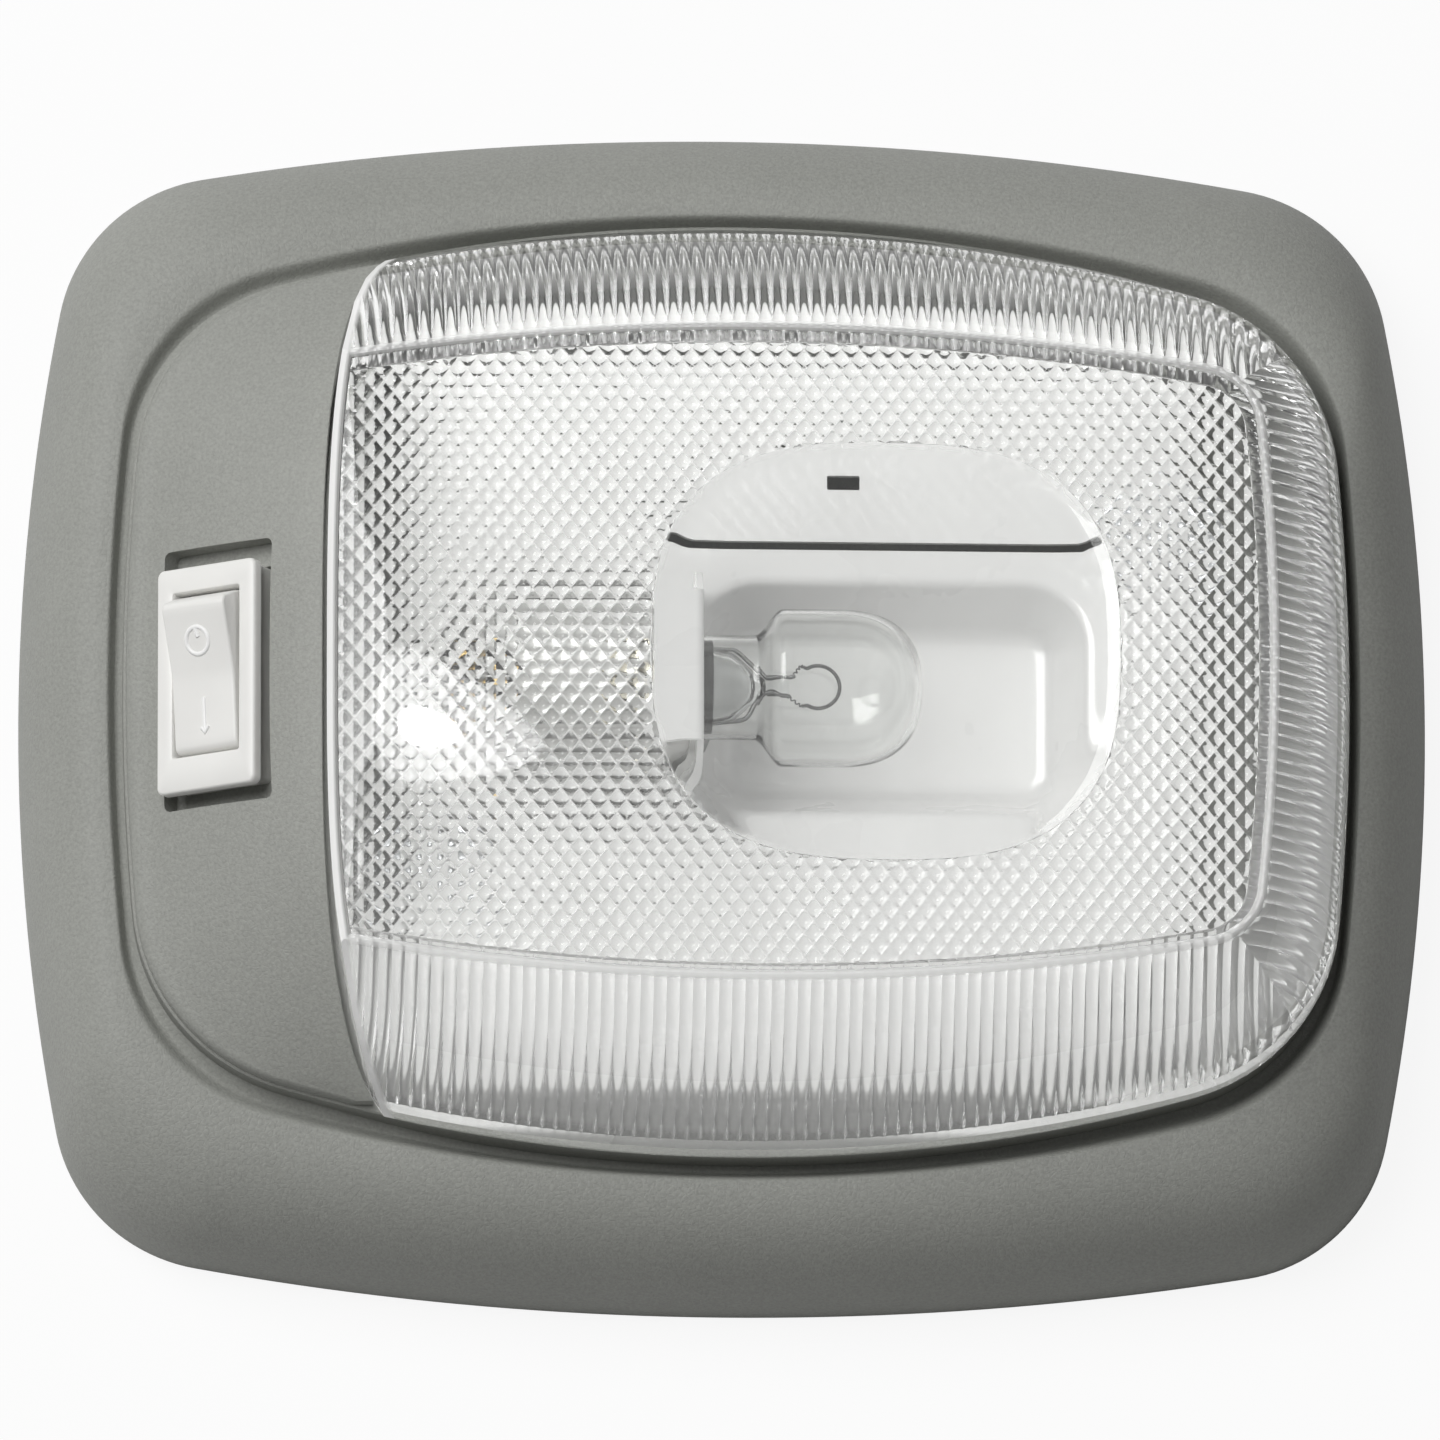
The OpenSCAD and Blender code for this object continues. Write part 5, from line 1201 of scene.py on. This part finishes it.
def eased(points, n=6):
    # A smooth curve through the points, from the second to the last but one.
    out = []
    p = [np.array(q, float) for q in points]
    for a, b, c, d in zip(p, p[1:], p[2:], p[3:]):
        for t in np.arange(n) / n:
            out.append(0.5 * (2 * b + (c - a) * t + (2 * a - 5 * b + 4 * c - d) * t * t
                              + (3 * b - a - 3 * c + d) * t ** 3))
    return out + [p[-2]]


def in_lamp(points, n):
    # A curve in the plane of the lamp's axis, through points along it and across it.
    return eased([(x, y, AXIS) for x, y in [points[0]] + points + [points[-1]]], n)


nickel = plain_finish("nickel wire", (0.20, 0.20, 0.20), 0.35, 1.0, scale=900.0)
upper = [(-3.4, 4.75), (-2.2, 4.7), (-0.6, 4.6), (0.7, 4.45), (2.4, 2.9), (4.2, 1.2), (5.6, 1.15),
         (7.1, 1.3), (7.6, 1.5)]
lower = [(-3.4, -4.4), (-2.5, -4.3), (-0.4, -4.1), (1.85, -3.7), (2.9, -2.0), (3.8, -0.8), (5.2, -0.5),
         (6.5, -0.8), (7.0, -1.1)]
leads = join("lead_wires", [run_tree(line_of("lead", in_lamp(run, 4)), wire_tree(nickel),
                                     {"Wire radius": 0.00027, "Sides": 10}) for run in (upper, lower)])
coat(leads, nickel, 60)
put(leads, "bulb_lead_wires", "housing")

# Filament: fine tungsten wire, wound to a coil and bent to an open ring between the ends of
# the two leads.
tungsten = plain_finish("tungsten", (0.11, 0.11, 0.11), 0.45, 1.0, scale=900.0)
ring = [(7.4, 1.4), (8.3, 2.55)]
ring += [(10.3 + 2.55 * math.cos(a), 0.15 + 2.55 * math.sin(a)) for a in np.radians(range(120, -125, -12))]
spine = np.array(in_lamp(ring + [(8.3, -2.1), (6.8, -1.0)], 10))
TURNS_A_POINT, COIL = 0.33, 0.15
coil = []
for k in range(len(spine) * 4):
    t = k / 4
    i = min(int(t), len(spine) - 2)
    way = spine[i + 1] - spine[i]
    side = np.array((-way[1], way[0], 0)) / max(1e-9, math.hypot(way[0], way[1]))
    a = 2 * math.pi * t * TURNS_A_POINT
    around = side * math.cos(a) + np.array((0, 0, 1.0)) * math.sin(a)
    coil.append(tuple(spine[i] + way * (t - i) + COIL * around))
filament = run_tree(line_of("filament_coil", coil), wire_tree(tungsten),
                    {"Wire radius": 0.00009, "Sides": 6}, 60)
put(filament, "bulb_filament", "housing")

# Lamp cap: drawn brass, nickel plated, with two pins for the bayonet slots, filled with dark cement round
# the neck of the glass; the black ring of it that stands out of the cap's mouth is also painted shade, for
# the dark shade in the lamp's neck.
shell = [(4.2, -16.0), (5.5, -16.0), (7.2, -14.4), (7.5, -13.8), (7.5, -1.1), (7.35, -0.75), (7.1, -0.6),
         (6.85, -0.75), (6.8, -1.2), (6.8, -13.8), (5.1, -15.4), (4.2, -15.4)]
pins = [turned("pin", [(0, 6.9), (1.0, 6.9), (1.0, 8.5), (0.85, 8.7), (0, 8.7)],
               lamp_place @ Matrix.Rotation(math.radians(a), 4, "Z") @ at(0, 0, -7.2) @ on_x, 24)
        for a in (15, 195)]
cap = join("bayonet_cap", [turned("cap_shell", shell, lamp_place, 64)] + pins)
coat(cap, plain_finish("nickel plated brass", (0.70, 0.67, 0.58), 0.22, 1.0, scale=400.0), 35)
put(cap, "bulb_cap", "housing")
# Near-black ring proud of the cap's mouth: real cement in part, and painted shade for the dark shade in the
# neck of the lamp
fill = [(5.05, -0.2), (5.45, -0.2), (5.45, 1.3), (5.2, 1.35), (5.05, 1.1)]
cement_and_shade = turned("cap_cement", fill, lamp_place, 48)
coat(cement_and_shade, plain_finish("cap cement", (0.05, 0.05, 0.048), 0.6, grain=0.3, scale=900.0), 35)
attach(cement_and_shade, "housing")

# Cap insulator and end contact: black glass that seals the end of the cap, and the drop of
# solder in its middle that closes the circuit.
dress("bulb_cap_insulator", plain_finish("black vitrite", (0.01, 0.01, 0.012), 0.15))
dress("bulb_contact", plain_finish("solder", (0.55, 0.55, 0.56), 0.3, 1.0, scale=900.0))

# Jumper wire: a lead with black insulation from the switch to the centre contact of the
# socket, crimped in its terminal.
rubber = plain_finish("black insulation", (0.02, 0.02, 0.02), 0.45, grain=0.2)
start = switch_place @ Vector((0, 6.3, -17.5))
after = switch_place @ Vector((0, 6.3, -20.7))
path = [start + Vector((-1, 0, 3)), start, after, (-49, 5.6, 9.8), (-44, 5, 9.4), (-36, 2, 9.6),
        (-32.6, 0, 11.6), (-31.4, 0, 16.4), (-30.8, 0, 18.8), (-29.6, 0, 20.6), (-28, 0, 21), (-26, 0, 21)]
jumper = run_tree(line_of("jumper_lead", eased([tuple(p) for p in path], 8)), wire_tree(rubber),
                  {"Wire radius": 0.00105, "Sides": 20}, 60)
put(jumper, "jumper_wire", "housing")

# Switch housing: off-white nylon moulding with a bezel on a skirt. It is pushed in the recess
# and snaps behind it by two wings.
ivory = plain_finish("off-white nylon", (0.845, 0.84, 0.815), 0.36, grain=0.12, scale=120.0)
# The bezel's outside, which sits a little towards -Y, and the opening down to its bottom, each
# as width, corner radius and height
bezel = [(13.2, 0.8, 0.1), (13.6, 0.9, 0.35), (13.6, 0.9, 1.3), (13.52, 0.86, 1.55), (13.3, 0.8, 1.72),
         (13.0, 0.75, 1.8)]
opening = [(9.7, 0.5, 1.8), (9.35, 0.4, 1.72), (9.12, 0.34, 1.5), (9.0, 0.3, 1.2), (9.0, 0.3, -8.3)]
rings = [(11.6, 25.2, 0.4, -9.5), (11.6, 25.2, 0.4, -3.2), (12.0, 25.8, 0.5, -3.2, 0, -0.3),
         (12.0, 25.8, 0.5, 0.1, 0, -0.3)]
rings += [(w, w + 13.4, r, z, 0, -0.6) for w, r, z in bezel]
rings += [(w, w + 10.6, r, z) for w, r, z in opening]
housing = outward_faces(tower("switch_body", rings, switch_place, 5))
stand = Matrix(((0, 0, 1, 0), (1, 0, 0, 0), (0, 1, 0, 0), (0, 0, 0, 1)))
carve(housing, [extruded("wing", [(0, -5.4), (s * 0.9, -5.4), (0, -7.6), (-s * 0.5, -7.6), (-s * 0.5, -5.4)],
                         -2.4, 2.4, switch_place @ at(0, s * 12.6) @ stand) for s in (-1, 1)], "UNION")
carve(housing, [block(2.48, 2.48, -5.4, 5.4, 1.23, switch_place @ at(0, 0, -1) @ on_x, 8)]
      + [block(0.8, 4.8, -11, -7, 0.1, switch_place @ at(0, y)) for y in (0, 6.3)])
coat(housing, ivory, 32)
put(housing, "switch_housing", "housing")

# Rocker: off-white nylon moulding with dished faces, on two moulded pins in the housing. The
# off end stands out at rest.
r, top, e = 9.6, 3.5, math.tan(math.radians(5.5)) * 9.0
a0, a1 = math.asin(2.6 / r), math.asin((top + e - 1.3) / r)
end_y, end_z, rim_z = r * math.cos(a1), r * math.sin(a1), top + e * 0.89 ** 1.25
bend = [(8.0 + (end_y - 8.0) * math.cos(t), end_z + (rim_z - end_z) * math.sin(t))
        for t in np.radians(range(15, 90, 15))]
sweep = [i * (a0 + a1) / 10 for i in range(11)]
outline = [(-r * math.cos(a0 - s), -r * math.sin(a0 - s)) for s in sweep]
outline += [(-y, z) for y, z in bend]
outline += [(9.0 * y, top + e * abs(y) ** 1.25) for y in np.linspace(-0.89, 0.89, 23)] + bend[::-1]
outline += [(r * math.cos(a1 - s), r * math.sin(a1 - s)) for s in sweep]
outline += [(2.4, -3.4), (-2.4, -3.4)]
rocker = extruded("rocker_paddle", outline, -4.3, 4.3, rocker_place @ stand)
soft = rocker.modifiers.new("edges", "BEVEL")
soft.width = 0.00035
soft.segments = 3
soft.limit_method = "ANGLE"
soft.angle_limit = math.radians(40)
settle(rocker)
carve(rocker, [block(2.4, 2.4, -5.25, 5.25, 1.19, rocker_place @ on_x, 8),
               block(4, 4, -4, -2, 1.98, rocker_place, 8)], "UNION")
carve(rocker, [block(2.5, 2.5, -6, 0.6, 1.24, rocker_place, 8)])
coat(rocker, ivory, 32)
put(rocker, "switch_rocker", "rocker")

# Rocker marks: a ring for off and a bar for on, moulded a little proud of the dished faces in
# white nylon.
white_mark = plain_finish("white mark", (0.93, 0.93, 0.92), 0.3, grain=0.05)


def on_rocker(x, y):
    # A spot on the rocker's dished face, a little sunk in it.
    return tuple(rocker_place @ Vector((x, y, top + e * (abs(y) / 9.0) ** 1.25 - 0.13)))


turn = np.radians(range(0, 360, 10))
lines = [([on_rocker(1.5 * math.sin(a), 4.1 + 1.6 * math.cos(a)) for a in turn], True),
         ([on_rocker(0.25 * t - 0.1, 5.6 - 1.1 * t) for t in np.linspace(0, 1, 5)], False),
         ([on_rocker(0, y) for y in np.linspace(-2.6, -6.6, 9)], False),
         ([on_rocker(-0.45, -6.1), on_rocker(0, -6.75), on_rocker(0.5, -6.0)], False)]
marks = join("rocker_marks", [run_tree(line_of("mark", line, closed), wire_tree(white_mark),
                                       {"Wire radius": 0.00032, "Sides": 8}) for line, closed in lines])
coat(marks, white_mark, 60)
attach(marks, "rocker")
